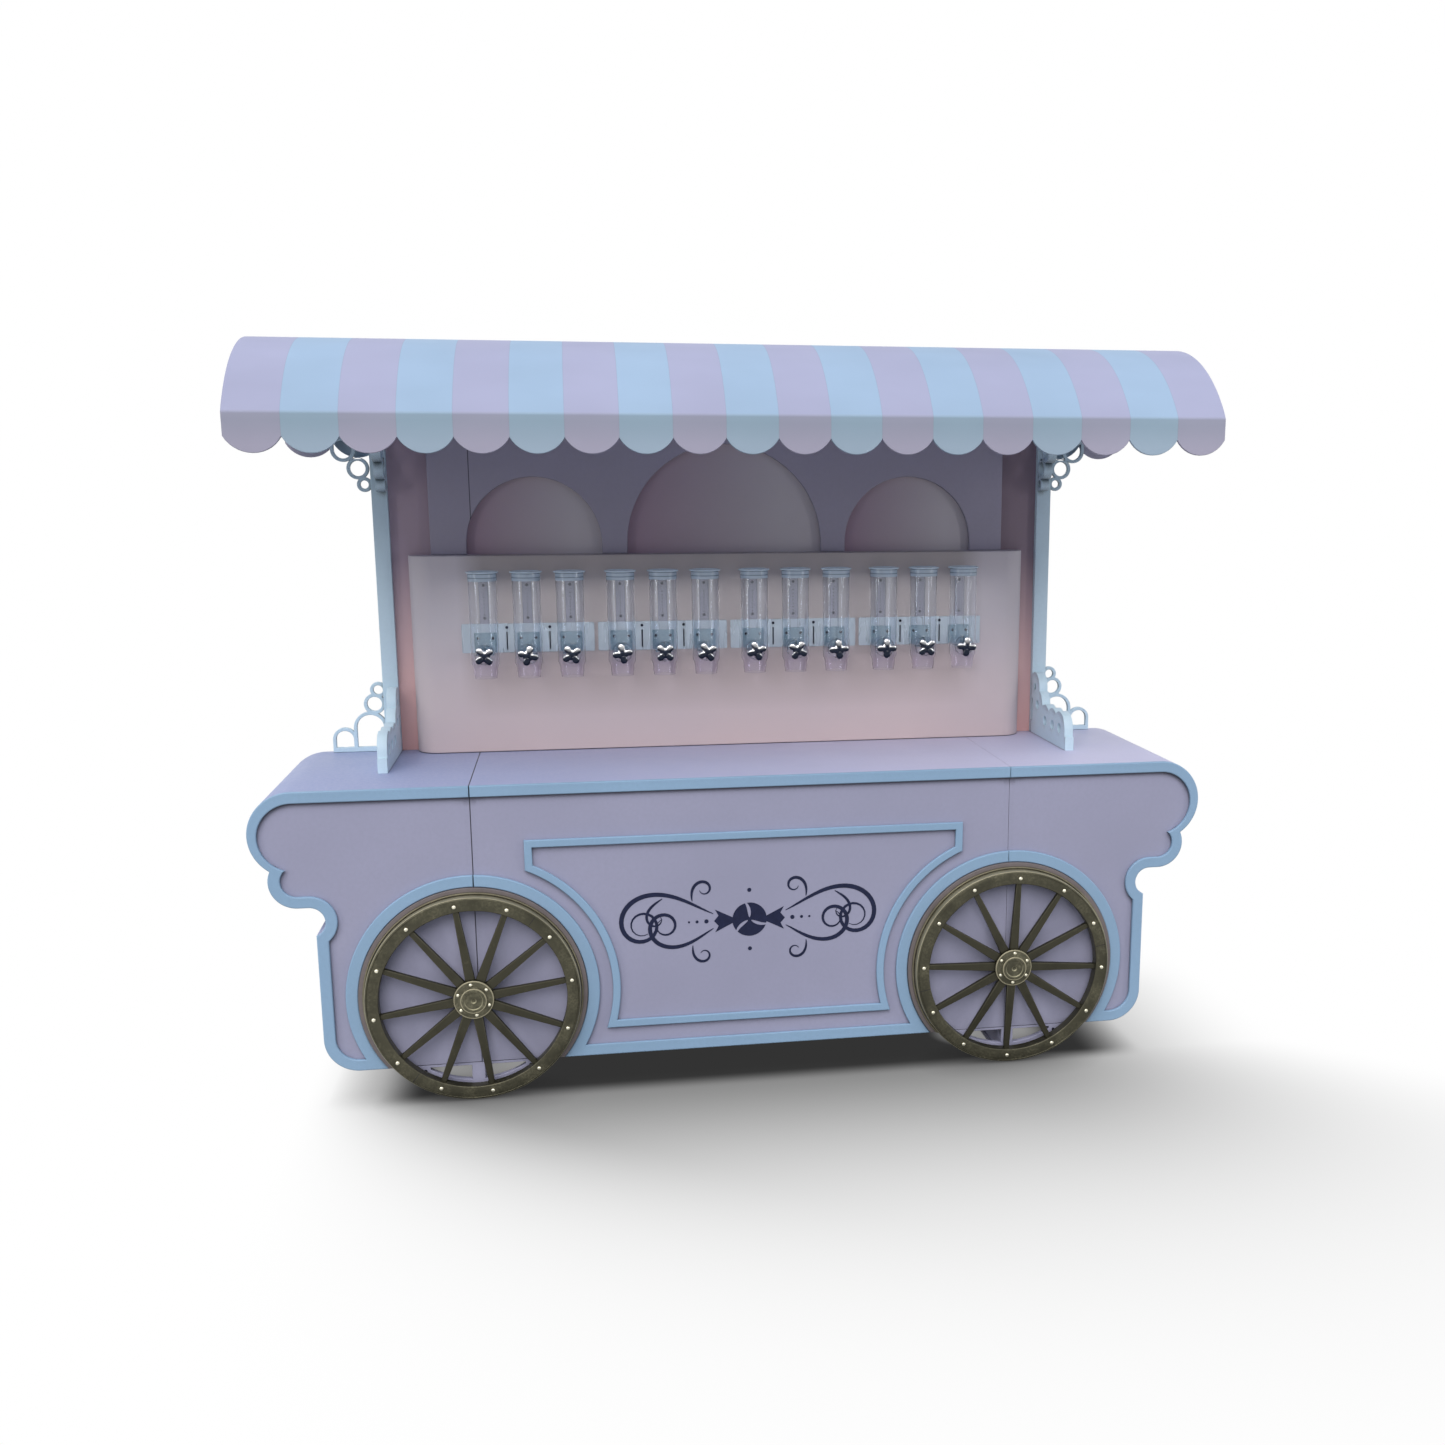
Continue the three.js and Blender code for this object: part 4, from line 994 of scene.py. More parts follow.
def patinated(name, base, dark_share=1.0, rubbed=None, light_share=1.0, metallic=0.75):
    """Antique bronze: brushed metallic paint with rubbed light places, sharp edges lighter as rubbed bronze
    and as a painted highlight, and dull dark ones.
    """
    dark, light = tinted(base, dark_share), tinted(rubbed or base, light_share)
    finish = Finish(name)
    patches = finish.spread(finish.noise(PATCHES), 0.38, 0.68)
    brushed = finish.spread(finish.noise(BRUSHING, (1, 0.25, 1)), 0.3, 0.75)
    mixed = finish.product(patches, brushed)
    # Sharp edges lighter: partly rubbed bronze, partly a painted highlight
    edges = finish.spread(finish.node("ShaderNodeNewGeometry").outputs["Pointiness"], 0.52, 0.6, 0, 0.8)
    tone = finish.blend(finish.math("MAXIMUM", mixed, edges), dark, light)
    dirt = finish.spread(finish.noise(DIRT), 0.5, 0.75, 0, 0.5)
    finish.bump(brushed, BRONZE_RELIEF)
    return finish.done(
        finish.blend(dirt, tone, tinted(dark, 0.55)), finish.spread(brushed, 0, 1, 0.34, 0.52),
        Metallic=metallic, Specular_IOR_Level=0.5,
    )


def metal(name, base, roughness):
    """Plain metal with faint marks."""
    finish = Finish(name)
    marks = finish.noise(METAL_MARKS)
    tone = finish.varied(finish.spread(marks, 0.35, 0.7), base, METAL_SHARES)
    finish.bump(marks, METAL_RELIEF)
    gloss = finish.spread(marks, *MOST, roughness * 0.8, roughness * 1.25)
    return finish.done(tone, gloss, Metallic=1.0)


def chrome(name, base, under):
    """Polished chrome with a painted reflection: bright above and dark where it faces down."""
    finish = Finish(name)
    _, _, rise = finish.parts(finish.node("ShaderNodeNewGeometry").outputs["Normal"])
    # Painted reflection: dark where the surface faces down, bright above
    tone = finish.blend(finish.spread(rise, 0.02, 0.3), under, base)
    marks = finish.noise(CHROME_MARKS)
    finish.bump(marks, CHROME_RELIEF)
    return finish.done(tone, finish.spread(marks, *MOST, 0.05, 0.09), Metallic=1.0)


def film(name, base):
    """Thin dark film cut to a shape."""
    finish = Finish(name)
    marks = finish.noise(FILM_MARKS)
    tone = finish.varied(finish.spread(marks, *MOST), base, FILM_SHARES)
    finish.bump(finish.noise(FILM_PEEL), FILM_RELIEF)
    return finish.done(tone, finish.spread(marks, *MOST, 0.38, 0.5), Specular_IOR_Level=0.15)


def ridged(finish, tone, base):
    """A lid's tone with painted shade in its grooves and a painted highlight on its wide edge."""
    sizes = bpy.context.scene.cart_dispensers
    low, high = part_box("lid_01")
    flange = high.z - sizes.lid_flange
    skirt = flange - low.z
    _, _, z = finish.parts()
    # Painted shade in the grooves
    for groove_share, half in ((0.42, 0.0012), (0.94, 0.0014)):
        off = finish.math("ABSOLUTE", finish.math("SUBTRACT", z, low.z + skirt * groove_share))
        tone = finish.blend(finish.spread(off, half, half * 1.5, 0.75, 0), tone, tinted(base, 0.35))
    # Painted highlight on the wide edge
    return finish.blend(finish.spread(z, flange - 0.0006, flange), tone, tinted(base, 1.4))


def clear_plastic(name, base, roughness, weight, haze=0.0, speckle=0.0, lower=None, ridges=False):
    """Moulded clear plastic that lets lamp light through to what is behind it."""
    sizes = bpy.context.scene.cart_dispensers
    finish = Finish(name)
    flow = finish.noise(FLOW, (1, 1, 0.12))
    tone = finish.blend(finish.spread(flow, *MOST), tinted(base, 0.97), base)
    if lower:
        _, _, z = finish.parts()
        tone = finish.blend(finish.spread(z, sizes.tube_bottom, sizes.drum_height, 1, 0), tone, lower)
    if speckle:
        grains = finish.spread(finish.noise(SPECKLES), 0.5, 0.62, 0, speckle)
        tone = finish.blend(grains, tone, tinted(base, 0.4))
    if ridges:
        tone = ridged(finish, tone, base)
    gloss = finish.spread(flow, *MOST, roughness, roughness + 0.03 + haze)
    through = finish.node("ShaderNodeBsdfTransparent")
    through.inputs["Color"].default_value = (*tinted(base, 0.98), 1)
    path = finish.node("ShaderNodeLightPath")
    mix_shaders(finish.tree, path.outputs["Is Shadow Ray"], finish.shader, through, "Material Output")
    finish.set(Transmission_Weight=weight, IOR=1.06, Coat_Weight=0.6, Coat_Roughness=0.06)
    return finish.done(tone, gloss)


def finish_of(name):
    """The finish with that name, made the first time that it is asked for."""
    known = bpy.data.materials.get(name)
    if known:
        return known
    colours = bpy.context.scene.cart_colours
    stripe = 2 * CANOPY_HIGH.x / bpy.context.scene.cart_canopy.stripes
    box_middle = (BOX_LOW.z + BOX_HIGH.z) / 2
    walls = (colours.wall, colours.wall_warm)
    bronze, rubbed = colours.bronze, colours.bronze_light
    maker, *values = {
        "pink paint": (painted, colours.pink),
        "skid paint": (painted, tinted(colours.pink, 1.15), 0.5, None, False),
        # Counter paint: pink made lighter as painted light, with a painted bluer left end
        "counter paint": (painted, colours.counter, 0.5, colours.counter_left),
        "wall paint": (wall_painted, *walls, BOX_LOW.z, box_middle + 0.1),
        # Panel paint: a darker copy of the wall paint, painted shade under the canopy
        "panel paint": (painted, colours.panel),
        "blue paint": (painted, colours.blue, 0.45),
        "pale blue paint": (painted, colours.post, 0.45),
        "niche paint": (niche_painted, *walls, colours.niche, BOX_LOW.z, BOX_HIGH.z),
        "striped paint": (striped, colours.stripe_pink, colours.stripe_blue, stripe, CANOPY_HIGH.x),
        "antique bronze": (patinated, bronze, 1.0, rubbed),
        # Hub bronze is made lighter: a painted highlight on the hub; shaded bronze is made darker: painted
        # shade on the spokes
        "hub bronze": (patinated, bronze, 1.25, rubbed, 1.5),
        "shaded bronze": (patinated, bronze, 0.5, rubbed, 0.5),
        # Bright bronze of the tyre and the hub rings: painted highlights
        "rubbed tyre": (patinated, colours.lip, 1.2, None, 1.9, 0.4),
        # Bright lip: a painted highlight; dark band: partly painted shade
        "rubbed lip": (patinated, colours.lip, 0.8, None, 1.3, 0.4),
        "worn band": (patinated, colours.band, 0.9, None, 1.1, 0.1),
        "pale bolts": (metal, colours.bolt, 0.28),
        "turned steel": (metal, colours.steel, 0.3),
        "dark screws": (film, colours.screw),
        "navy film": (film, colours.ornament),
        "clear plastic": (clear_plastic, colours.clear, 0.02, 1.0, 0.0, 0.0, colours.outlet),
        "frosted plastic": (clear_plastic, colours.frosted, 0.2, 0.45, 0.1),
        "strip plastic": (clear_plastic, colours.strip, 0.08, 0.5),
        "speckled plastic": (clear_plastic, colours.pad, 0.25, 0.2, 0.1, 0.55),
        "lid plastic": (clear_plastic, colours.lid, 0.15, 0.35, 0.05, 0.0, None, True),
        # Dark chrome of the knob caps: a painted dark reflection
        "dark chrome": (metal, colours.chrome_dark, 0.12),
        "chrome": (chrome, colours.chrome, colours.chrome_dark),
    }[name]
    return maker(name, *values)


# Counter


def lobed_end(sizes, inner, inset, lobe_inset, bottom):
    """Lobed right end of the body from an inner edge, drawn in by an inset."""
    steps = sizes.arc_steps
    top = TRIM_HIGH.z - inset
    lobe_x = TRIM_HIGH.x - sizes.big_lobe
    drop = sizes.lobe_drop * (sizes.big_lobe - sizes.lobe_trim_width + sizes.small_lobe - sizes.trim_width)
    small_z = TRIM_HIGH.z - sizes.big_lobe - drop
    big = sizes.big_lobe - lobe_inset
    small = sizes.small_lobe - inset
    big_z = top - big
    apart = big_z - small_z
    notch_drop = (big ** 2 - small ** 2 + apart ** 2) / (2 * apart)
    notch_out = math.sqrt(big ** 2 - notch_drop ** 2)
    cove = sizes.cove + inset
    cove_x = sizes.side_x + sizes.cove_reach
    cove_z = small_z - sizes.small_lobe - sizes.cove
    cove_in = sizes.side_x - inset - cove_x
    cove_end = FULL_TURN + math.atan2(-math.sqrt(cove ** 2 - cove_in ** 2), cove_in)
    foot_x = sizes.side_x - sizes.foot
    foot_z = TRIM_LOW.z + sizes.foot
    return spaced([
        (inner, top),
        *arc(lobe_x, big_z, big, QUARTER, math.atan2(-notch_drop, notch_out), 2 * steps),
        *arc(lobe_x, small_z, small, math.atan2(apart - notch_drop, notch_out), -QUARTER, steps),
        *arc(cove_x, cove_z, cove, QUARTER, cove_end, steps),
        *arc(foot_x, foot_z, sizes.foot - inset, 0, -QUARTER, steps),
        (foot_x, bottom),
        (inner, bottom),
    ])


def whole_front(sizes, inset, lobe_inset, bottom):
    """Outline of the whole front, both ends."""
    right = lobed_end(sizes, 0, inset, lobe_inset, bottom)[1:-1]
    return right + list(reversed(mirrored(right, -1)))


def build_cabinets():
    """The three open bodies under the counter top."""
    sizes = bpy.context.scene.cart_counter
    front = CENTRE_LOW.y - FRONT
    back = CENTRE_HIGH.y - FRONT
    floor = CENTRE_LOW.z + sizes.board
    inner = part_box("cabinet_right")[0].x
    for name, side in SIDES:
        bm = bmesh.new()
        outline = mirrored(lobed_end(sizes, inner, 0, 0, CENTRE_LOW.z), side)
        hollow = mirrored(lobed_end(sizes, inner + sizes.board, sizes.board, sizes.board, floor), side)
        slab(bm, [outline, hollow], front, back, sizes.body_round, across)
        piece(f"cabinet_{name}_body", bm, "counter paint", "cart", "pink_panel", f"cabinet_{name}")
    bm = bmesh.new()
    half = CENTRE_HIGH.x
    outline = rectangle(-half, half, CENTRE_LOW.z, CENTRE_HIGH.z)
    hollow = rectangle(sizes.board - half, half - sizes.board, floor, CENTRE_HIGH.z - sizes.board)
    slab(bm, [outline, hollow], front, back, sizes.body_round, across)
    piece("cabinet_centre_body", bm, "counter paint", "cart", "pink_panel", "cabinet_centre")


def build_trim():
    """Blue trim round the whole front and over both arches, cut at the module seams."""
    sizes = bpy.context.scene.cart_counter
    steps = 6 * sizes.arc_steps
    outlines = [
        whole_front(sizes, 0, 0, TRIM_LOW.z),
        whole_front(sizes, sizes.trim_width, sizes.lobe_trim_width, TRIM_LOW.z + sizes.trim_width),
    ]
    for side in (-1, 1):
        outlines.append(circle(side * WHEEL_X, WHEEL_Z, sizes.arch_outer, steps))
        outlines.append(circle(side * WHEEL_X, WHEEL_Z, sizes.arch_inner, steps))
        gap = sizes.seam if side < 0 else sizes.right_seam
        near, far = side * SEAM_X - gap / 2, side * SEAM_X + gap / 2
        outlines.append(rectangle(near, far, TRIM_LOW.z - sizes.trim_width, TRIM_HIGH.z + sizes.trim_width))
    whole, field = 0, 1
    outer_arches = {2, 5}
    cuts = {3, 6, 4, 7}

    def is_trim(owners):
        return whole in owners and not owners & cuts and (field not in owners or bool(owners & outer_arches))

    bm = bmesh.new()
    loops = region(outlines, is_trim)
    for group in grouped(loops):
        slab_of_loops(bm, group, 0, TRIM_HIGH.y - FRONT, sizes.trim_round, across)
    piece("outline_trim_board", bm, "blue paint", "cart", "blue_trim", "outline_trim")


def build_arch_liners():
    """Bronze-brown rings that fill the arches round both wheels, each with a raised lip; the dark ring is
    partly the tread's own colour and partly painted shade, the bright lip a painted highlight.
    """
    body = bpy.context.scene.cart_counter
    sizes = bpy.context.scene.cart_wheels
    inner = (WHEEL_HIGH.z - WHEEL_LOW.z) / 2 + sizes.liner_gap
    lip = inner + sizes.liner_lip
    outer = body.arch_inner - sizes.liner_seat
    steps = 6 * body.arc_steps
    for name, near, far, front, finish in (
        # The dark ring is partly painted shade; its bright lip is a painted highlight
        ("arch_liners", lip, outer, -sizes.liner_rise, "worn band"),
        ("arch_liner_lips", inner, lip, -2 * sizes.liner_rise, "rubbed lip"),
    ):
        bm = bmesh.new()
        for side in (-1, 1):
            x = side * WHEEL_X
            above = rectangle(x - outer, x + outer, TRIM_LOW.z + body.trim_round, WHEEL_Z + outer)
            outlines = [circle(x, WHEEL_Z, far, steps), circle(x, WHEEL_Z, near, steps), above]
            for group in grouped(region(outlines, lambda owners: owners == {0, 2})):
                slab_of_loops(bm, group, front, TRIM_HIGH.y - FRONT, body.body_round, across)
        piece(name, bm, finish, "cart", "antique_bronze")


def inside(point, loop):
    """True if a point lies inside a loop."""
    x, z = point
    crossings = 0
    for (a, b), (c, d) in zip(loop, loop[1:] + loop[:1]):
        if (b > z) != (d > z) and x < a + (z - b) * (c - a) / (d - b):
            crossings += 1
    return crossings % 2 == 1


def grouped(loops):
    """Each outline with the holes that lie inside it."""
    def area(loop):
        return sum(a[0] * b[1] - b[0] * a[1] for a, b in zip(loop, loop[1:] + loop[:1]))

    outer = [loop for loop in loops if area(loop) > 0]
    holes = [loop for loop in loops if area(loop) < 0]
    return [[loop] + [hole for hole in holes if inside(hole[0], loop)] for loop in outer]


def build_frame():
    """Raised frame on the middle of the front, hollowed at its sides round the arches."""
    sizes = bpy.context.scene.cart_counter
    low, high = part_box("centre_frame")

    def outline(inset):
        half = high.x - inset
        bottom = low.z + inset
        radius = sizes.arch_outer + sizes.frame_arch_gap + inset
        at_side = math.atan2(math.sqrt(radius ** 2 - (WHEEL_X - half) ** 2), half - WHEEL_X)
        along = -math.sqrt(radius ** 2 - (WHEEL_Z - bottom) ** 2)
        at_bottom = FULL_TURN + math.atan2(bottom - WHEEL_Z, along)
        hollow = arc(WHEEL_X, WHEEL_Z, radius, at_side, at_bottom, 2 * sizes.arc_steps)
        right = [(half, high.z - inset), *hollow]
        return right + list(reversed(mirrored(right, -1)))

    bm = bmesh.new()
    slab(bm, [outline(0), outline(sizes.frame_width)], 0, high.y - low.y, sizes.trim_round, across)
    piece("centre_frame_board", bm, "blue paint", "cart", "blue_trim", "centre_frame")


def build_skids():
    """Segment boards with two windows behind the wheels, each with a beam and a foot to the back."""
    sizes = bpy.context.scene.cart_skids
    body = bpy.context.scene.cart_counter
    for name, side in SIDES:
        low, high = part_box(f"skid_{name}")
        high.z -= sizes.gap
        x = (low.x + high.x) / 2
        front, back = low.y - FRONT, high.y - FRONT
        board_back = front + body.board
        chord = math.acos((WHEEL_Z - high.z) / sizes.board)
        segment = arc(x, WHEEL_Z, sizes.board, -QUARTER - chord, chord - QUARTER, 3 * body.arc_steps)
        window_top = high.z - sizes.edge
        corner = math.sqrt(sizes.window ** 2 - (WHEEL_Z - window_top) ** 2)
        reach = min(sizes.window_half, corner)
        outer = math.acos(reach / sizes.window)
        inner = math.acos(sizes.strut / 2 / sizes.window)
        window = [
            (sizes.strut / 2, window_top),
            *arc(0, WHEEL_Z, sizes.window, -inner, -outer, body.arc_steps),
            (reach, window_top),
        ]
        windows = [[(x + flip * a, b) for a, b in window] for flip in (-1, 1)]
        bm = bmesh.new()
        slab(bm, [segment, *windows], front, board_back, body.body_round, across)
        beam = rectangle(x - sizes.strut / 2, x + sizes.strut / 2, sizes.beam_bottom, high.z - CLEAR)
        slab(bm, [beam], board_back - body.body_round, back, body.body_round, across)
        foot = sizes.strut / 2 + sizes.foot_rim
        slab(bm, [rectangle(x - foot, x + foot, 0, sizes.foot_height)], front + body.body_round, back,
             body.body_round, across)
        piece(f"skid_{name}_board", bm, "skid paint", "cart", "pink_panel", f"skid_{name}")


# Ornament


# Each stroke: start, heading in degrees, length, bend at its start and end, greatest width
SCROLLS = (
    ((0.105, 0.022), 24, 0.66, 3, -34, 0.0135),
    ((0.105, -0.022), -30, 0.45, -3, 45, 0.012),
    ((0.250, 0.074), -35, 0.15, 5, -66, 0.008),
    ((0.165, 0.062), 80, 0.15, 6, 76, 0.009),
    ((0.165, -0.070), -84, 0.13, -6, -84, 0.008),
)
# Each dot beside the scrolls: place and radius
DOTS = (
    (0.125, 0.0, 0.0062), (0.152, 0.0, 0.0045), (0.175, 0.0, 0.0032),
    (0.0, 0.088, 0.006), (0.0, -0.088, 0.006),
)
# The wrapped sweet in the middle: radius, wrapper's length and half widths at its neck and end
SWEET = (0.05, 0.05, 0.008, 0.034)
# Three curved cuts in the sweet: their start from its middle, length, bends, greatest and least width
SWEET_CUT = (0.006, 0.055, 2, 30, 0.0095, 0.002)
# The wrapper's root, and the notches and the point at its end, as shares
FAN_ROOT, FAN_NOTCH_IN, FAN_NOTCH_UP, FAN_POINT = 0.97, 0.2, 0.45, 0.06
# Steps along a scroll and a cut, and round a dot and the sweet
SCROLL_STEPS, CUT_STEPS, DOT_ROUND, SWEET_ROUND = 54, 16, 16, 48
# The ornament above the frame's middle, and the film's two faces before the front board
ORNAMENT_RISE, FILM_FRONT, FILM_BACK = 0.018, 0.0007, 0.0001


def sweep(start, heading, size, first_bend, last_bend, steps):
    """Points of a curve whose bend changes evenly, from a start and a heading."""
    x, z = start
    angle = math.radians(heading)
    points = [(x, z)]
    for i in range(steps):
        angle += (first_bend + (last_bend - first_bend) * (i + 0.5) / steps) * size / steps
        x += math.cos(angle) * size / steps
        z += math.sin(angle) * size / steps
        points.append((x, z))
    return points


def stroke_parts(points, most, least=0.0016):
    """Quads along a curve; the stroke swells in its first half and thins out at both ends."""
    last = len(points) - 1
    sides = []
    for i, here in enumerate(points):
        way = (Vector(points[min(i + 1, last)]) - Vector(points[max(i - 1, 0)])).normalized()
        half = (least + (most - least) * math.sin(math.pi * (i / last) ** 0.75)) / 2
        aside = Vector((-way.y, way.x)) * half
        sides.append((tuple(Vector(here) - aside), tuple(Vector(here) + aside)))
    return [[a, c, d, b] for (a, b), (c, d) in zip(sides, sides[1:])]


def build_ornament():
    """A navy ornament in the frame: a wrapped sweet between mirrored scrolls."""
    low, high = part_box("centre_frame")
    z = (low.z + high.z) / 2 + ORNAMENT_RISE
    shapes = []
    for start, heading, size, first_bend, last_bend, most in SCROLLS:
        points = sweep(start, heading, size, first_bend, last_bend, SCROLL_STEPS)
        for side in (-1, 1):
            shapes += stroke_parts(mirrored(points, side), most)
    for a, b, radius in DOTS:
        shapes += [circle(side * a, b, radius, DOT_ROUND) for side in ((-1, 1) if a else (1,))]
    radius, wrap, neck, end = SWEET
    shapes.append(circle(0, 0, radius, SWEET_ROUND))
    root, tip = radius * FAN_ROOT, radius + wrap
    notch, notch_up = tip - wrap * FAN_NOTCH_IN, end * FAN_NOTCH_UP
    fan = [
        (root, -neck), (tip, -end), (notch, -notch_up), (tip + wrap * FAN_POINT, 0),
        (notch, notch_up), (tip, end), (root, neck),
    ]
    shapes += [mirrored(fan, side) for side in (-1, 1)]
    first_cut = len(shapes)
    out, size, first_bend, last_bend, most, least = SWEET_CUT
    for turn in range(3):
        heading = 120 * turn + 90
        start = (out * math.cos(math.radians(heading)), out * math.sin(math.radians(heading)))
        points = sweep(start, heading, size, first_bend, last_bend, CUT_STEPS)
        shapes += stroke_parts(points, most, least)
    shapes = [[(a, z + b) for a, b in shape] for shape in shapes]
    front = FASCIA_LOW.y - FRONT
    bm = bmesh.new()
    for group in grouped(region(shapes, lambda owners: bool(owners) and max(owners) < first_cut)):
        slab_of_loops(bm, group, front - FILM_FRONT, front - FILM_BACK, 0, across)
    piece("front_ornament", bm, "navy film", "cart", "navy_ornament")


# Wheels


# Where a bolt's dome has its points, from its foot, in radians, and the share of its upright edge
DOME_TURNS, BOLT_EDGE = (0.35, 0.7, 1.05, 1.3), 0.25
# Where a screw's head has its corners, as shares of its radius and height
SCREW_SHARES = ((1, 0.3), (0.8, 1), (0.3, 1), (0.22, 0.2), (0, 0.2))


def small_part(name, profile, segments, corner):
    """The mesh of a small turned part that stands on the origin and points to -Y."""
    bm = bmesh.new()
    turned_solid(bm, profile, segments, lambda a, b, height: Vector((a, -height, b)))
    return mesh_of(bm, name, math.radians(corner))


def bolt_mesh(radius, height, depth=0.001):
    """A domed bolt on a short upright edge."""
    profile = [(0, -depth), (radius, -depth), (radius, height * BOLT_EDGE)]
    for turn in DOME_TURNS:
        rise = BOLT_EDGE + (1 - BOLT_EDGE) * math.sin(turn)
        profile.append((radius * math.cos(turn), height * rise))
    return small_part("bolt", [*profile, (0, height)], SHAFT_STEPS, corner=50)


def screw_mesh(radius, height=0.0012, depth=0.0006):
    """A small pan-head screw with a round recess."""
    head = [(radius * out, height * up) for out, up in SCREW_SHARES]
    return small_part("screw", [(0, -depth), (radius, -depth), *head], SCREW_STEPS, corner=30)


# Where the rim's joints lie, from each wheel's first spoke
JOINT_TURNS = {"left": math.radians(44.1), "right": math.radians(14.4)}
# The turns that round an edge of the rim, from its side to its face
EDGE_TURNS = (1.57, 1.05, 0.52, 0)
# Where the hub cap's step and its dish begin and end, as shares of the cap's radius
CAP_SHARES = (0.72, 0.66, 0.22, 0.14)


def rim_profile(sizes, inner, radius):
    """Section of the rim, with a fine groove near its outer edge."""
    depth, edge = sizes.rim_depth, sizes.rim_round
    groove, half = radius - sizes.rim_width * sizes.groove_share, sizes.groove_half
    corner = [(edge * (1 - math.sin(turn)), -edge * (1 - math.cos(turn))) for turn in EDGE_TURNS]
    return [
        *[(inner + into, height) for into, height in corner],
        (groove - half, 0), (groove, -sizes.groove_depth), (groove + half, 0),
        *[(radius - into, height) for into, height in reversed(corner)],
        (radius, edge - depth), (radius - edge, -depth), (inner + edge, -depth), (inner, edge - depth),
    ]


def tyre_profile(sizes, radius):
    """Section of the bright band round the rim, a painted highlight."""
    edge, seat = sizes.rim_round, radius - sizes.tyre
    back = -sizes.rim_depth + edge / 2
    return [
        (seat, -edge / 2), (radius - edge / 3, -edge * 1.5), (radius, -edge * 2),
        (radius, edge - sizes.rim_depth), (radius - edge / 3, back), (seat, back),
    ]


def hub_profile(sizes, front, back):
    """Section of the hub: a barrel, its flange and a dished cap."""
    cap, step = sizes.cap, sizes.cap_step
    step_out, step_in, dish_out, dish_in = (cap * part for part in CAP_SHARES)
    top, shoulder = front + sizes.cap_height, front - sizes.flange_thickness
    corners = [
        (0, back), (sizes.hub, back), (sizes.hub, shoulder), (sizes.flange, shoulder),
        (sizes.flange, front), (cap, front), (cap, top), (step_out, top), (step_in, top - step),
        (dish_out, top - step), (dish_in, top - sizes.cap_dish), (0, top - sizes.cap_dish),
    ]
    return stepped(corners, step)


def ring_profile(sizes, outside, front):
    """Section of a bright ring over the edge of a disc, a painted highlight."""
    width, proud = sizes.hub_ring, sizes.hub_ring / 6
    return [
        (outside - width, front + proud), (outside - 2 * proud, front + proud),
        (outside + proud, front - 2 * proud), (outside + proud, front - width),
        (outside - width, front - width),
    ]


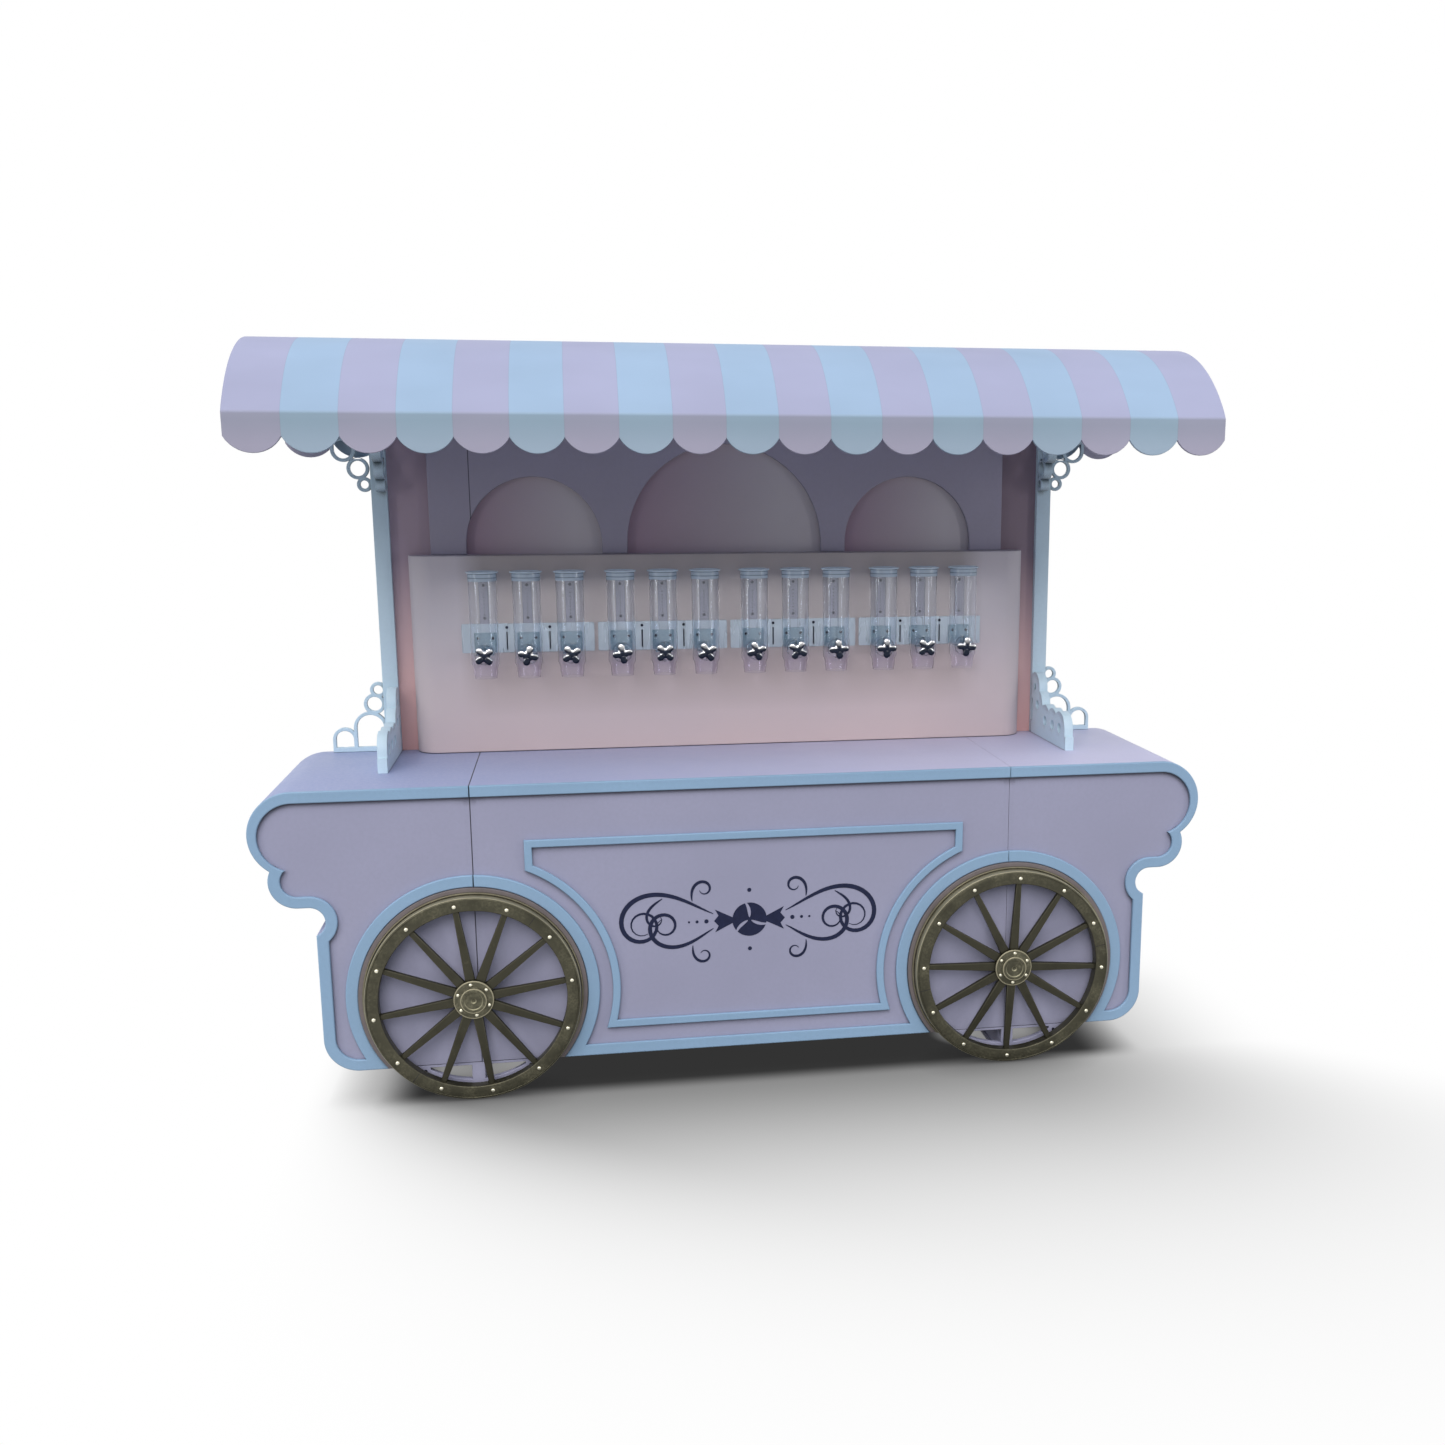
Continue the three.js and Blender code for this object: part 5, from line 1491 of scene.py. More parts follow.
def build_wheels():
    """Two spoked wheels: rim, spokes, hub, and pale domed bolts."""
    sizes = bpy.context.scene.cart_wheels
    slot = "antique_bronze"
    for name, turn in (("left", sizes.left_turn), ("right", sizes.right_turn)):
        node = f"wheel_{name}"
        low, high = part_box(node)
        x, z = (low.x + high.x) / 2, (low.z + high.z) / 2
        full_radius = (high.z - low.z) / 2
        radius = full_radius - sizes.tyre / 2
        inner = full_radius - sizes.rim_width
        face = -sizes.rim_offset
        place = about(x, z, face)
        bm = bmesh.new()
        turned_solid(bm, rim_profile(sizes, inner, radius), sizes.segments, place, closed=True)
        piece(f"{node}_rim", bm, "antique bronze", node, slot, node)
        # The bright band round the rim is a painted highlight
        bm = bmesh.new()
        turned_solid(bm, tyre_profile(sizes, full_radius), sizes.segments, place, closed=True)
        piece(f"{node}_tyre", bm, "rubbed tyre", node, slot)

        bm = bmesh.new()
        near, far, half = inner + sizes.rim_round, radius - sizes.rim_round, sizes.joint / 2
        for angle in (turn + JOINT_TURNS[name], turn + (JOINT_TURNS[name] + math.pi)):
            c, d = math.cos(angle), math.sin(angle)
            strip = rectangle(near, far, -half, half)
            spots = [(x + out * c - aside * d, z + out * d + aside * c) for out, aside in strip]
            slab(bm, [spots], face - sizes.joint_rise, face + sizes.joint_depth, 0, across)
        piece(f"{node}_joints", bm, "dark screws", node, "dark_screw")

        # The spokes' darker bronze is painted shade
        bm = bmesh.new()
        root, tip = sizes.hub - sizes.spoke_bite, inner + sizes.spoke_bite
        flat = [(root, -sizes.spoke_root / 2), (tip, -sizes.spoke_tip / 2),
                (tip, sizes.spoke_tip / 2), (root, sizes.spoke_root / 2)]
        front = -sizes.spoke_offset
        slab(bm, [flat], front, sizes.spoke_thickness + front, sizes.spoke_round, across, 2)
        spokes = repeated(f"{node}_spokes", ring_tree, mesh_of(bm, "spoke"), "shaded bronze",
                          Count=sizes.spokes, Radius=0.0, Turn=turn, Centre=Vector((x, 0, z)))
        piece(f"{node}_spokes", spokes, "shaded bronze", node, slot)

        front = sizes.rim_offset + CLEAR
        # The hub's lighter bronze is a painted highlight
        bm = bmesh.new()
        turned_solid(bm, hub_profile(sizes, front, FRONT - high.y), HUB_STEPS, about(x, z, 0))
        piece(f"{node}_hub", bm, "hub bronze", node, slot)
        # The bright rings on the hub's edges are painted highlights
        bm = bmesh.new()
        for outside, ring_front in ((sizes.flange, front), (sizes.cap, front + sizes.cap_height)):
            section = ring_profile(sizes, outside, ring_front)
            turned_solid(bm, section, HUB_STEPS, about(x, z, 0), closed=True)
        piece(f"{node}_hub_rings", bm, "rubbed tyre", node, slot)

        rim_reach, hub_reach = radius - sizes.rim_bolt_inset, sizes.flange - sizes.hub_bolt_inset
        for kind, bolt, number, reach, first_turn, out in (
            ("rim", sizes.rim_bolt, sizes.spokes, rim_reach, turn, sizes.rim_offset),
            ("hub", sizes.hub_bolt, sizes.hub_bolts, hub_reach, turn + QUARTER, front),
        ):
            bolts = repeated(f"{node}_{kind}_bolts", ring_tree, bolt_mesh(bolt, sizes.bolt_height),
                             "pale bolts", Count=number, Radius=reach, Turn=first_turn,
                             Centre=Vector((x, FRONT - out, z)))
            piece(f"{node}_{kind}_bolts", bolts, "pale bolts", node, "pale_bolt")


# Walls


# Steps over each niche, and round each end of the box
NICHE_STEPS, BOX_STEPS = 48, 24


def niche_places(sizes):
    """The middle and half width of each niche."""
    side = (sizes.niche_x, sizes.niche_half)
    return (-side[0], side[1]), (0, sizes.middle_half), side


def build_walls():
    """Arch panel with three niches, and the dispenser box with round ends."""
    sizes = bpy.context.scene.cart_walls
    bottom = PANEL_LOW.z
    outlines = [rectangle(PANEL_LOW.x, PANEL_HIGH.x, bottom, PANEL_HIGH.z)]
    for x, half in niche_places(sizes):
        below = bottom - sizes.spring
        top = arc(x, BOX_HIGH.z + sizes.spring, half, 0, math.pi, NICHE_STEPS)
        outlines.append([(x + half, below), *top, (x - half, below)])
    bm = bmesh.new()
    for group in grouped(region(outlines, lambda owners: owners == {0})):
        slab_of_loops(
            bm, group, PANEL_LOW.y - FRONT, PANEL_HIGH.y - FRONT, sizes.niche_round, across
        )
    piece("arch_panel_board", bm, "panel paint", "cart", "pink_panel", "arch_panel")

    half, radius = BOX_HIGH.x, sizes.box_end
    front, back = BOX_LOW.y - FRONT, BOX_HIGH.y - FRONT
    plan = [
        (-half, back),
        *arc(radius - half, front + radius, radius, math.pi, math.pi + QUARTER, BOX_STEPS),
        *arc(half - radius, front + radius, radius, -QUARTER, 0, BOX_STEPS),
        (half, back),
    ]
    bm = bmesh.new()
    slab(bm, [plan], BOX_LOW.z + sizes.box_gap, BOX_HIGH.z, sizes.box_round, level)
    piece("dispenser_box_shell", bm, "wall paint", "cart", "pink_panel", "dispenser_box")


# Posts


# Each ring: centre out, centre up and hole radius, as shares of reach, height and height
LOW_OUTER_SHARES = ((0.1, 0.86, 0.063), (0.18, 0.665, 0.099), (0.28, 0.333, 0.18), (0.77, 0.18, 0.117))
LOW_FRONT_SHARES = (
    (0.09, 0.7, 0.05), (0.18, 0.45, 0.065), (0.41, 0.27, 0.07), (0.62, 0.27, 0.07), (0.82, 0.27, 0.07),
)
TOP_SHARES = ((0.17, 0.875, 0.075), (0.32, 0.58, 0.14), (0.68, 0.24, 0.16))


def bracket_loops(sizes, shares, reach, height, grow):
    """Loops of a ring bracket: out from the post, up from its seat."""
    rings = [(out * reach, up * height, hole * height) for out, up, hole in shares]
    sill = 1.5 * sizes.ring_wall
    solid, holes = [], []
    for out, up, hole in rings:
        rim = hole + sizes.ring_wall + grow
        solid.append(circle(out, up, rim, sizes.ring_steps))
        holes.append(circle(out, up, hole, sizes.ring_steps))
        if up < height / 2:
            solid.append(rectangle(out - rim, out + rim, 0, up))
            if not grow:
                holes.append(rectangle(out - hole, out + hole, sill, up))
    solid.append(rectangle(-sizes.ring_wall / 2, reach, 0, sill + grow))
    window = rectangle(-sizes.ring_wall / 2, 2 * reach, 0, 2 * height)
    outlines = [window, *solid, *holes]
    solids = set(range(1, 1 + len(solid)))
    voids = set(range(1 + len(solid), len(outlines)))
    return region(outlines, lambda owners: 0 in owners and bool(owners & solids) and not owners & voids)


def build_posts():
    """Two posts with pierced ring brackets, sideways and forwards, at the counter and under the roof."""
    sizes = bpy.context.scene.cart_posts
    grow = sizes.front_lobe * sizes.low_height
    outer_low = bracket_loops(sizes, LOW_OUTER_SHARES, sizes.low_outer_reach, sizes.low_height, 0)
    outer_top = bracket_loops(sizes, TOP_SHARES, sizes.top_reach, sizes.top_height, 0)
    front_low = bracket_loops(sizes, LOW_FRONT_SHARES, sizes.low_front_reach, sizes.low_height, grow)
    for name, side in SIDES:
        low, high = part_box(f"post_{name}")
        inner = math.copysign(min(abs(low.x), abs(high.x)), side)
        outer = inner + side * sizes.width
        back = high.y
        front = back - sizes.depth
        middle = (front + back) / 2
        bm = bmesh.new()
        near, far = sorted((inner, outer))
        slab(bm, [rounded(near, far, front - FRONT, back - FRONT, sizes.rounding)],
             low.z, high.z, sizes.rounding, level)

        wide, thick = sizes.front_thickness, sizes.outer_thickness

        def sideways(base, up):
            return lambda a, b, depth: Vector((outer + side * a, middle - thick / 2 + depth, base + up * b))

        def forwards(base, up):
            return lambda a, b, depth: Vector((inner + side * depth, front - a, base + up * b))

        for loops, place, thickness in (
            (outer_low, sideways(low.z, 1), thick), (outer_top, sideways(high.z, -1), thick),
            (front_low, forwards(low.z, 1), wide), (outer_top, forwards(high.z, -1), wide),
        ):
            for group in grouped(loops):
                slab_of_loops(bm, group, 0, thickness, sizes.rounding, place, 2)
        piece(f"post_{name}_brackets", bm, "pale blue paint", "cart", "pale_blue_post", f"post_{name}")


# Canopy


# Where the skirt's section has its points, as shares of its height
SKIRT_SHARES = (0.3, 0.65, 1)
# The fold's two points, as shares of its rounding: back and up from the skirt's top
FOLD_SHARES = ((0.1, -0.35), (0.5, 0.3))


def roof_arc(sizes, inset, steps):
    """Arc of the roof in (depth, height), from its front fold to its back fold."""
    front, back = CANOPY_LOW.y - FRONT, CANOPY_HIGH.y - FRONT
    rise = CANOPY_HIGH.z - sizes.fold
    half = (back - front) / 2
    radius = (half ** 2 + rise ** 2) / (2 * rise)
    z = CANOPY_HIGH.z - radius
    start = math.asin((sizes.fold - z) / (radius - inset))
    return list(reversed(arc((front + back) / 2, z, radius - inset, start, math.pi - start, steps)))


def skirt_levels(sizes):
    """Places along X with the valance's lowest level at each, scallop by scallop."""
    half = CANOPY_HIGH.x
    width = 2 * half / sizes.stripes
    drop = sizes.cusp - CANOPY_LOW.z
    radius = (width ** 2 / 4 + drop ** 2) / (2 * drop)
    swing = math.asin(width / 2 / radius)
    centre = CANOPY_LOW.z + radius
    levels = []
    for number in range(sizes.stripes):
        middle = (number + 0.5) * width - half
        for i in range(1 if number else 0, sizes.scallop_steps + 1):
            angle = -swing + 2 * swing * i / sizes.scallop_steps
            levels.append((middle + radius * math.sin(angle), centre - radius * math.cos(angle)))
    return levels


def canopy_ring(sizes, bottom):
    """Closed section of the canopy's board in (depth, height) with its rounded lower edges."""
    front, back = CANOPY_LOW.y - FRONT, CANOPY_HIGH.y - FRONT
    board, edge, fold = sizes.board, sizes.rim_round, sizes.fold_round
    mirror = front + back
    heights = [bottom + edge]
    heights += [bottom + (sizes.fold - fold - bottom) * t for t in SKIRT_SHARES]
    outer = [(front, height) for height in heights]
    outer += [(front + fold * out, sizes.fold + fold * up) for out, up in FOLD_SHARES]
    turned = [(mirror - a, b) for a, b in reversed(outer)]
    outer += roof_arc(sizes, 0, sizes.roof_steps)[1:-1] + turned
    inner = [(front + board, height) for height in heights]
    turned = [(mirror - a, b) for a, b in reversed(inner)]
    under = roof_arc(sizes, board, sizes.roof_steps)
    inner += [point for point in under if front + board < point[0] < back - board] + turned
    start = [(front + board - edge, bottom), (front + edge, bottom)]
    end = [(mirror - a, b) for a, b in reversed(start)]
    return start + outer + end + list(reversed(inner))


def build_canopy():
    """Barrel roof and scalloped valances as one bent board, with end boards and two ribs inside."""
    sizes = bpy.context.scene.cart_canopy
    bm = bmesh.new()
    columns = []
    for x, bottom in skirt_levels(sizes):
        columns.append([bm.verts.new(lengthwise(a, b, x)) for a, b in canopy_ring(sizes, bottom)])
    for near, far in zip(columns, columns[1:]):
        joined(bm, near, far)
    for column in (columns[0], columns[-1]):
        flat = [[Vector((vert.co.y, vert.co.z, 0)) for vert in column]]
        for trio in tessellate_polygon(flat):
            bm.faces.new([column[i] for i in trio])
        for i, vert in enumerate(column):
            bm.edges.get((vert, column[(i + 1) % len(column)])).smooth = False
    board = mesh_of(bm, "canopy_board", corner=math.radians(42))
    piece("canopy_board", board, "striped paint", "cart", "canopy_stripes", "canopy")

    half = CANOPY_HIGH.x
    under = roof_arc(sizes, sizes.board, sizes.roof_steps)
    front = CANOPY_LOW.y - FRONT + sizes.board
    back = CANOPY_HIGH.y - FRONT - sizes.board
    inner = [point for point in under if front < point[0] < back]
    gable = [(front, sizes.gable_bottom), *inner, (back, sizes.gable_bottom)]
    post_low, post_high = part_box("post_right")
    rib_low = post_high.z + CLEAR
    rib_top = rib_low + sizes.rib_height
    crossing = [point for point in inner if point[1] < rib_top]
    left_part = [point for point in crossing if point[0] < (front + back) / 2]
    right_part = [point for point in crossing if point[0] > (front + back) / 2]
    rib_ends = [(left_part[-1][0], rib_top), (right_part[0][0], rib_top)]
    rib = [(front, rib_low), *left_part, *rib_ends, *right_part, (back, rib_low)]
    bm = bmesh.new()
    rib_x = post_low.x
    for side in (-1, 1):
        near = sorted((side * (half - sizes.gable_inset), side * (half - sizes.board)))
        slab(bm, [gable], near[0], near[1], sizes.rim_round, lengthwise, 2)
        near = sorted((side * rib_x, side * (rib_x + sizes.rib_thickness)))
        slab(bm, [spaced(rib)], near[0], near[1], sizes.rim_round, lengthwise, 2)
    piece("canopy_end_boards", bm, "pink paint", "cart", "pink_panel")


# Dispensers


# The canister's neck and the lower part of its outlet: height, and the outlet's last step inwards
NECK, OUTLET_STEP = 0.016, 0.002
# Points of the neck's curve, as shares of its height
NECK_SHARES = (0.7, 0.35, 0)
# Rounding of the clear sheets' edges, and of the corners of strips, pads and plates
SHEET_EDGE, STRIP_CORNER, PAD_CORNER, PLATE_CORNER = 0.0006, 0.002, 0.003, 0.004
# Rounding of the bosses round the knobs' shafts
BOSS_ROUND = 0.001


def tube_profile(sizes, low, top):
    """Section of a canister's wall: a straight tube, its neck and its outlet."""
    tube, outlet, wall, neck_z = sizes.tube, sizes.outlet, sizes.wall, sizes.tube_bottom
    rim = wall * 0.3
    outside = [(tube - rim, top), (tube, top - rim), (tube, neck_z + NECK)]
    outside += [(outlet + t * t * (tube - outlet), neck_z + NECK * t) for t in NECK_SHARES]
    outside += [(outlet, low + NECK), (outlet - OUTLET_STEP, low + NECK / 2), (outlet - wall, low)]
    within = [(radius - wall, height) for radius, height in reversed(outside[2:-1])]
    inner = tube - wall
    return [(outlet - wall - wall, low), *within, (inner, top - rim), (inner + rim, top), *outside]


def build_canisters():
    """Clear canisters with drum housing and outlet, and the strip and pad that hold each."""
    sizes = bpy.context.scene.cart_dispensers
    thickness, wall = sizes.strip_thickness, sizes.wall
    strip_back, pad_back = BOX_LOW.y - CLEAR - FRONT, PLATE_LOW.y - CLEAR - FRONT
    pad_low = PLATE_LOW.z + sizes.pad_bottom
    pad_high = PLATE_LOW.z + sizes.pad_top * (PLATE_HIGH.z - PLATE_LOW.z)
    half = sizes.strip_width / 2
    tip, hole = sizes.tube + sizes.boss_length, sizes.shaft + CLEAR
    drum, end = sizes.drum, sizes.drum_half
    housing = [(drum, -end), (drum, end), (drum - wall / 2, end), (drum - wall / 2, -end)]
    boss = [
        (hole, end), (sizes.boss, end), (sizes.boss, tip - BOSS_ROUND),
        (sizes.boss - BOSS_ROUND, tip), (hole, tip),
    ]
    for number in CANISTERS:
        node = f"canister_{number}"
        low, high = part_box(node)
        x, y = (low.x + high.x) / 2, KNOB_PLACES[number][1]
        bm = bmesh.new()
        profile = tube_profile(sizes, low.z, high.z)
        turned_solid(bm, profile, sizes.segments, upright(x, y), closed=True)
        axis = about(x, sizes.drum_height, y - FRONT)
        turned_solid(bm, housing, HOUSING_STEPS, axis, closed=True)
        turned_solid(bm, boss, BOSS_STEPS, axis, closed=True)
        for side in (-1, 1):
            near, far = sorted((x + side * half, x + side * half * 0.8))
            slab(bm, [rectangle(near, far, sizes.strip_bottom, sizes.strip_top)],
                 y + math.sqrt(sizes.tube ** 2 - half ** 2) - wall - FRONT,
                 strip_back - thickness / 2, 0, across)
        piece(f"{node}_tube", bm, "clear plastic", "cart", "clear_plastic", node)
        bm = bmesh.new()
        slab(bm, [rounded(x - half, x + half, sizes.strip_bottom, sizes.strip_top, STRIP_CORNER)],
             strip_back - thickness, strip_back, SHEET_EDGE, across, 2)
        piece(f"{node}_strip", bm, "strip plastic", "cart", "clear_plastic")
        bm = bmesh.new()
        slab(bm, [rounded(x - sizes.pad_half, x + sizes.pad_half, pad_low, pad_high, PAD_CORNER)],
             pad_back - thickness, pad_back, SHEET_EDGE, across, 2)
        piece(f"{node}_pad", bm, "speckled plastic", "cart", "frosted_plastic")


# Rounding of a lid's lower and middle edges and of its rim, and how deep its top is sunk
LID_FOOT_ROUND, LID_ROUND, LID_TOP_ROUND = 0.0006, 0.001, 0.0015
LID_RING_DIP, LID_MIDDLE_DIP = 0.0014, 0.0004
# The ring on a lid's top: its outer and inner slopes, as shares of the rim's radius
LID_SLOPES = (0.86, 0.83, 0.3, 0.26)
# The grooves round a lid's skirt: from and to, each with its slope, as shares of the height
GROOVE_SHARES = ((0.3, 0), (0.38, 1), (0.46, 1), (0.54, 0), (0.8, 0), (0.88, 1))


def build_lids():
    """Milky lids with a wide upper edge and two grooves round the skirt."""
    sizes = bpy.context.scene.cart_dispensers
    for number in CANISTERS:
        node = f"lid_{number}"
        low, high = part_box(node)
        x, y = (low.x + high.x) / 2, KNOB_PLACES[number][1]
        rim = (high.x - low.x) / 2 + sizes.lid_spread
        band = (high.x - low.x) / 2 - sizes.lid_lip
        inner = sizes.tube + CLEAR
        flange = high.z - sizes.lid_flange
        skirt = flange - low.z
        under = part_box(f"canister_{number}")[1].z + CLEAR
        ring, middle = high.z - LID_RING_DIP, high.z - LID_MIDDLE_DIP
        rim_in, ring_out, ring_in, middle_out = (rim * part for part in LID_SLOPES)
        corners = [
            (0, under), (inner, under), (inner, low.z),
            (band - LID_FOOT_ROUND, low.z), (band, low.z + LID_ROUND),
            *[(band - sizes.lid_groove * deep, low.z + skirt * up) for up, deep in GROOVE_SHARES],
            (band - sizes.lid_groove, flange), (rim - LID_ROUND, flange), (rim, flange + LID_ROUND),
            (rim, high.z - LID_TOP_ROUND), (rim - LID_TOP_ROUND, high.z), (rim_in, high.z),
            (ring_out, ring), (ring_in, ring), (middle_out, middle), (0, middle),
        ]
        bm = bmesh.new()
        turned_solid(bm, corners, 2 * sizes.segments, upright(x, y))
        cap = mesh_of(bm, f"{node}_cap", corner=math.radians(35))
        piece(f"{node}_cap", cap, "lid plastic", node, "lid_plastic", node)


# How far each star knob happens to be turned, in degrees
KNOB_TURNS = (40, 75, 35, 10, 45, 30, 20, 60, 5, 90, 42, 85)
# The cap in the knob's middle, dark as a painted reflection: radius and rise of each point, as shares of the
# cap's
KNOB_CAP_SHARES = ((0, -1), (1, -1), (1, 0), (0.8, 0.6), (0.5, 0.9), (0, 1))
# A star's steps round and from rim to middle, the power that blunts its dome, and its dimple
STAR_ROUNDS, STAR_RINGS, STAR_BLUNT, STAR_MIDDLE = 64, 8, 0.7, 0.55
# The gap round a slot's liner
LINER_GAP = 0.0004
# The paddle's gap to the drum, and the rounding of its vanes
PADDLE_GAP, VANE_CORNER, VANE_EDGE = 0.0035, 0.001, 0.0005


def star_reach(sizes, angle):
    """How far the star's outline reaches at an angle: four round lobes on a round hub."""
    swing = (angle + QUARTER / 2) % QUARTER - QUARTER / 2
    aside = sizes.knob_arm * math.sin(swing)
    if abs(aside) >= sizes.knob_lobe:
        return sizes.knob_hub
    lobe = sizes.knob_arm * math.cos(swing) + math.sqrt(sizes.knob_lobe ** 2 - aside ** 2)
    return max(sizes.knob_hub, lobe)


def star_knob(bm, sizes, x, z, front, turn):
    """A four-lobed knob, domed on both faces and dimpled in its middle."""
    half = sizes.knob_thickness / 2
    turns = [QUARTER * i / STAR_RINGS for i in range(STAR_RINGS + 1)]
    levels = [(math.sin(turn_out), math.cos(turn_out) ** STAR_BLUNT) for turn_out in turns]
    levels[0] = (0, STAR_MIDDLE)
    levels += [(out, -rise) for out, rise in reversed(levels[:-1])]
    rows = []
    for out, rise in levels:
        y = FRONT + front - half - half * rise
        row = []
        for k in range(STAR_ROUNDS if out else 1):
            angle = FULL_TURN * k / STAR_ROUNDS
            reach = out * star_reach(sizes, angle)
            spot = (x + reach * math.cos(angle + turn), y, z + reach * math.sin(angle + turn))
            row.append(bm.verts.new(spot))
        rows.append(row)
    for near, far in zip(rows, rows[1:]):
        joined(bm, near, far)


def build_knobs():
    """Chrome star knobs, and the shaft and paddle that turn with each."""
    sizes = bpy.context.scene.cart_dispensers
    cap, rise = sizes.knob_cap, sizes.knob_cap / 4
    dome = [(cap * out, rise * up) for out, up in KNOB_CAP_SHARES]
    end = sizes.drum_half - CLEAR
    tip = sizes.tube + sizes.boss_length + sizes.knob_thickness / 2
    reach, half = sizes.drum - PADDLE_GAP, sizes.vane_thickness / 2
    for number, degrees in zip(CANISTERS, KNOB_TURNS):
        node = f"knob_rotor_{number}"
        x, y, z = KNOB_PLACES[number]
        depth = y - FRONT
        front = depth - sizes.tube - sizes.boss_length - CLEAR
        bm = bmesh.new()
        star_knob(bm, sizes, x, z, front, math.radians(degrees))
        star = mesh_of(bm, f"{node}_star", math.pi)
        piece(f"{node}_star", star, "chrome", node, "chrome_knob", node)
        # The dark cap: a painted dark reflection
        bm = bmesh.new()
        turned_solid(bm, dome, BOSS_STEPS, about(x, z, front - sizes.knob_thickness))
        piece(f"{node}_cap", bm, "dark chrome", node, "chrome_knob")
        bm = bmesh.new()
        shaft = [(0, -end), (sizes.shaft, -end), (sizes.shaft, tip), (0, tip)]
        turned_solid(bm, shaft, SHAFT_STEPS, about(x, z, depth))
        for wide, high in ((reach, half), (half, reach)):
            vane = rounded(x - wide, x + wide, z - high, z + high, VANE_CORNER)
            slab(bm, [vane], depth - end, depth + end, VANE_EDGE, across, 2)
        piece(f"{node}_paddle", bm, "clear plastic", node, "clear_plastic")


def plates():
    """Each plate's node, its box, and the places along X of its two slots."""
    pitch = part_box("canister_02")[0].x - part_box("canister_01")[0].x
    for number in range(1, 5):
        low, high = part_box(f"group_plate_{number}")
        middle = (low.x + high.x) / 2
        yield f"group_plate_{number}", low, high, (middle - pitch / 2, middle + pitch / 2)


def build_plates():
    """Clear plates behind the canisters, each with two slots and their dark liners, which stand in for the
    shade in the slots.
    """
    sizes = bpy.context.scene.cart_dispensers
    liners = bmesh.new()
    gap = LINER_GAP
    for node, low, high, slots in plates():
        front, back = low.y - FRONT, high.y - FRONT
        base, half = low.z + sizes.slot_rise, sizes.slot_width / 2
        top = base + sizes.slot_height
        holes = [rectangle(x - half, x + half, base, top) for x in slots]
        bm = bmesh.new()
        slab(bm, [rounded(low.x, high.x, low.z, high.z, PLATE_CORNER), *holes], front, back,
             SHEET_EDGE, across, 2)
        piece(f"{node}_sheet", bm, "frosted plastic", "cart", "frosted_plastic", node)
        half -= gap
        # Dark liners in the slots: painted shade
        for x in slots:
            liner = rounded(x - half, x + half, base + gap, top - gap, half * 0.9)
            slab(liners, [liner], front - sizes.slot_rim, back, sizes.slot_rim / 2, across, 2)
    piece("slot_liners", liners, "dark screws", "cart", "dark_screw")


def build_dots():
    """Dark dots along the strips."""
    sizes = bpy.context.scene.cart_dispensers
    size = sizes.dot
    dome = [(0, 0), (size, 0), (size * 0.8, size * 0.4), (0, size / 2)]
    dot = small_part("dot", dome, DOT_STEPS, corner=38)
    front = BOX_LOW.y - CLEAR - sizes.strip_thickness
    for number in CANISTERS:
        name = f"canister_{number}_dots"
        start = Vector((KNOB_PLACES[number][0], front, sizes.strip_screw + sizes.dot_step))
        dots = repeated(name, row_tree, dot, "dark screws", Count=sizes.dots, Start=start,
                        Step=Vector((0, 0, sizes.dot_step)))
        piece(name, dots, "dark screws", "cart", "dark_screw")


# Carried-over nodes and small fasteners


def dress_nodes():
    """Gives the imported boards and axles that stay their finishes."""
    finishes = {
        "fascia_left": "pink paint", "fascia_centre": "pink paint", "fascia_right": "pink paint",
        "back_wall": "niche paint", "stub_axle_left": "turned steel", "stub_axle_right": "turned steel",
    }
    for node, name in finishes.items():
        for holder in frame["nodes"][node].material_slots:
            holder.material = finish_of(name)


def build_screws():
    """Small dark screws in the strips, pads, plates and segment boards."""
    sizes = bpy.context.scene.cart_dispensers
    skids = bpy.context.scene.cart_skids
    strip_y = BOX_LOW.y - CLEAR - sizes.strip_thickness
    pad_y = PLATE_LOW.y - CLEAR - sizes.strip_thickness
    pad_z = (PLATE_LOW.z + PLATE_HIGH.z) / 2
    spots = []
    for number in CANISTERS:
        x = KNOB_PLACES[number][0]
        spots += [(x, strip_y, sizes.strip_top - sizes.screw_inset), (x, strip_y, sizes.strip_screw)]
        spots += [(x - sizes.pad_screw, pad_y, pad_z), (x + sizes.pad_screw, pad_y, pad_z)]
    for _, low, high, slots in plates():
        spots += [(x, low.y, high.z - sizes.screw_inset) for x in slots]
    for name, _ in SIDES:
        low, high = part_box(f"skid_{name}")
        x = (low.x + high.x) / 2
        spots += [(x - skids.screw_x, low.y, skids.screw_z), (x + skids.screw_x, low.y, skids.screw_z)]
    screws = repeated("small_screws", places_tree, screw_mesh(sizes.screw), "dark screws", spots)
    piece("small_screws", screws, "dark screws", "cart", "dark_screw")


# Stage


# The sky's colour, and how its strength grows from level rays to those that rise by 0.35
SKY_COLOUR = (0.88, 0.96, 1.12, 1)
SKY_RISE = (("From Min", 0.0), ("From Max", 0.35), ("To Min", 0.2), ("To Max", 1.0))


def seen_directly(tree):
    """1 for rays from the camera, and for those seen in a mirror or through a clear wall."""
    path = tree.nodes.new("ShaderNodeLightPath")
    seen = math_node(tree, "MAXIMUM", path.outputs["Is Camera Ray"], path.outputs["Is Glossy Ray"])
    return math_node(tree, "MAXIMUM", seen, path.outputs["Is Transmission Ray"])


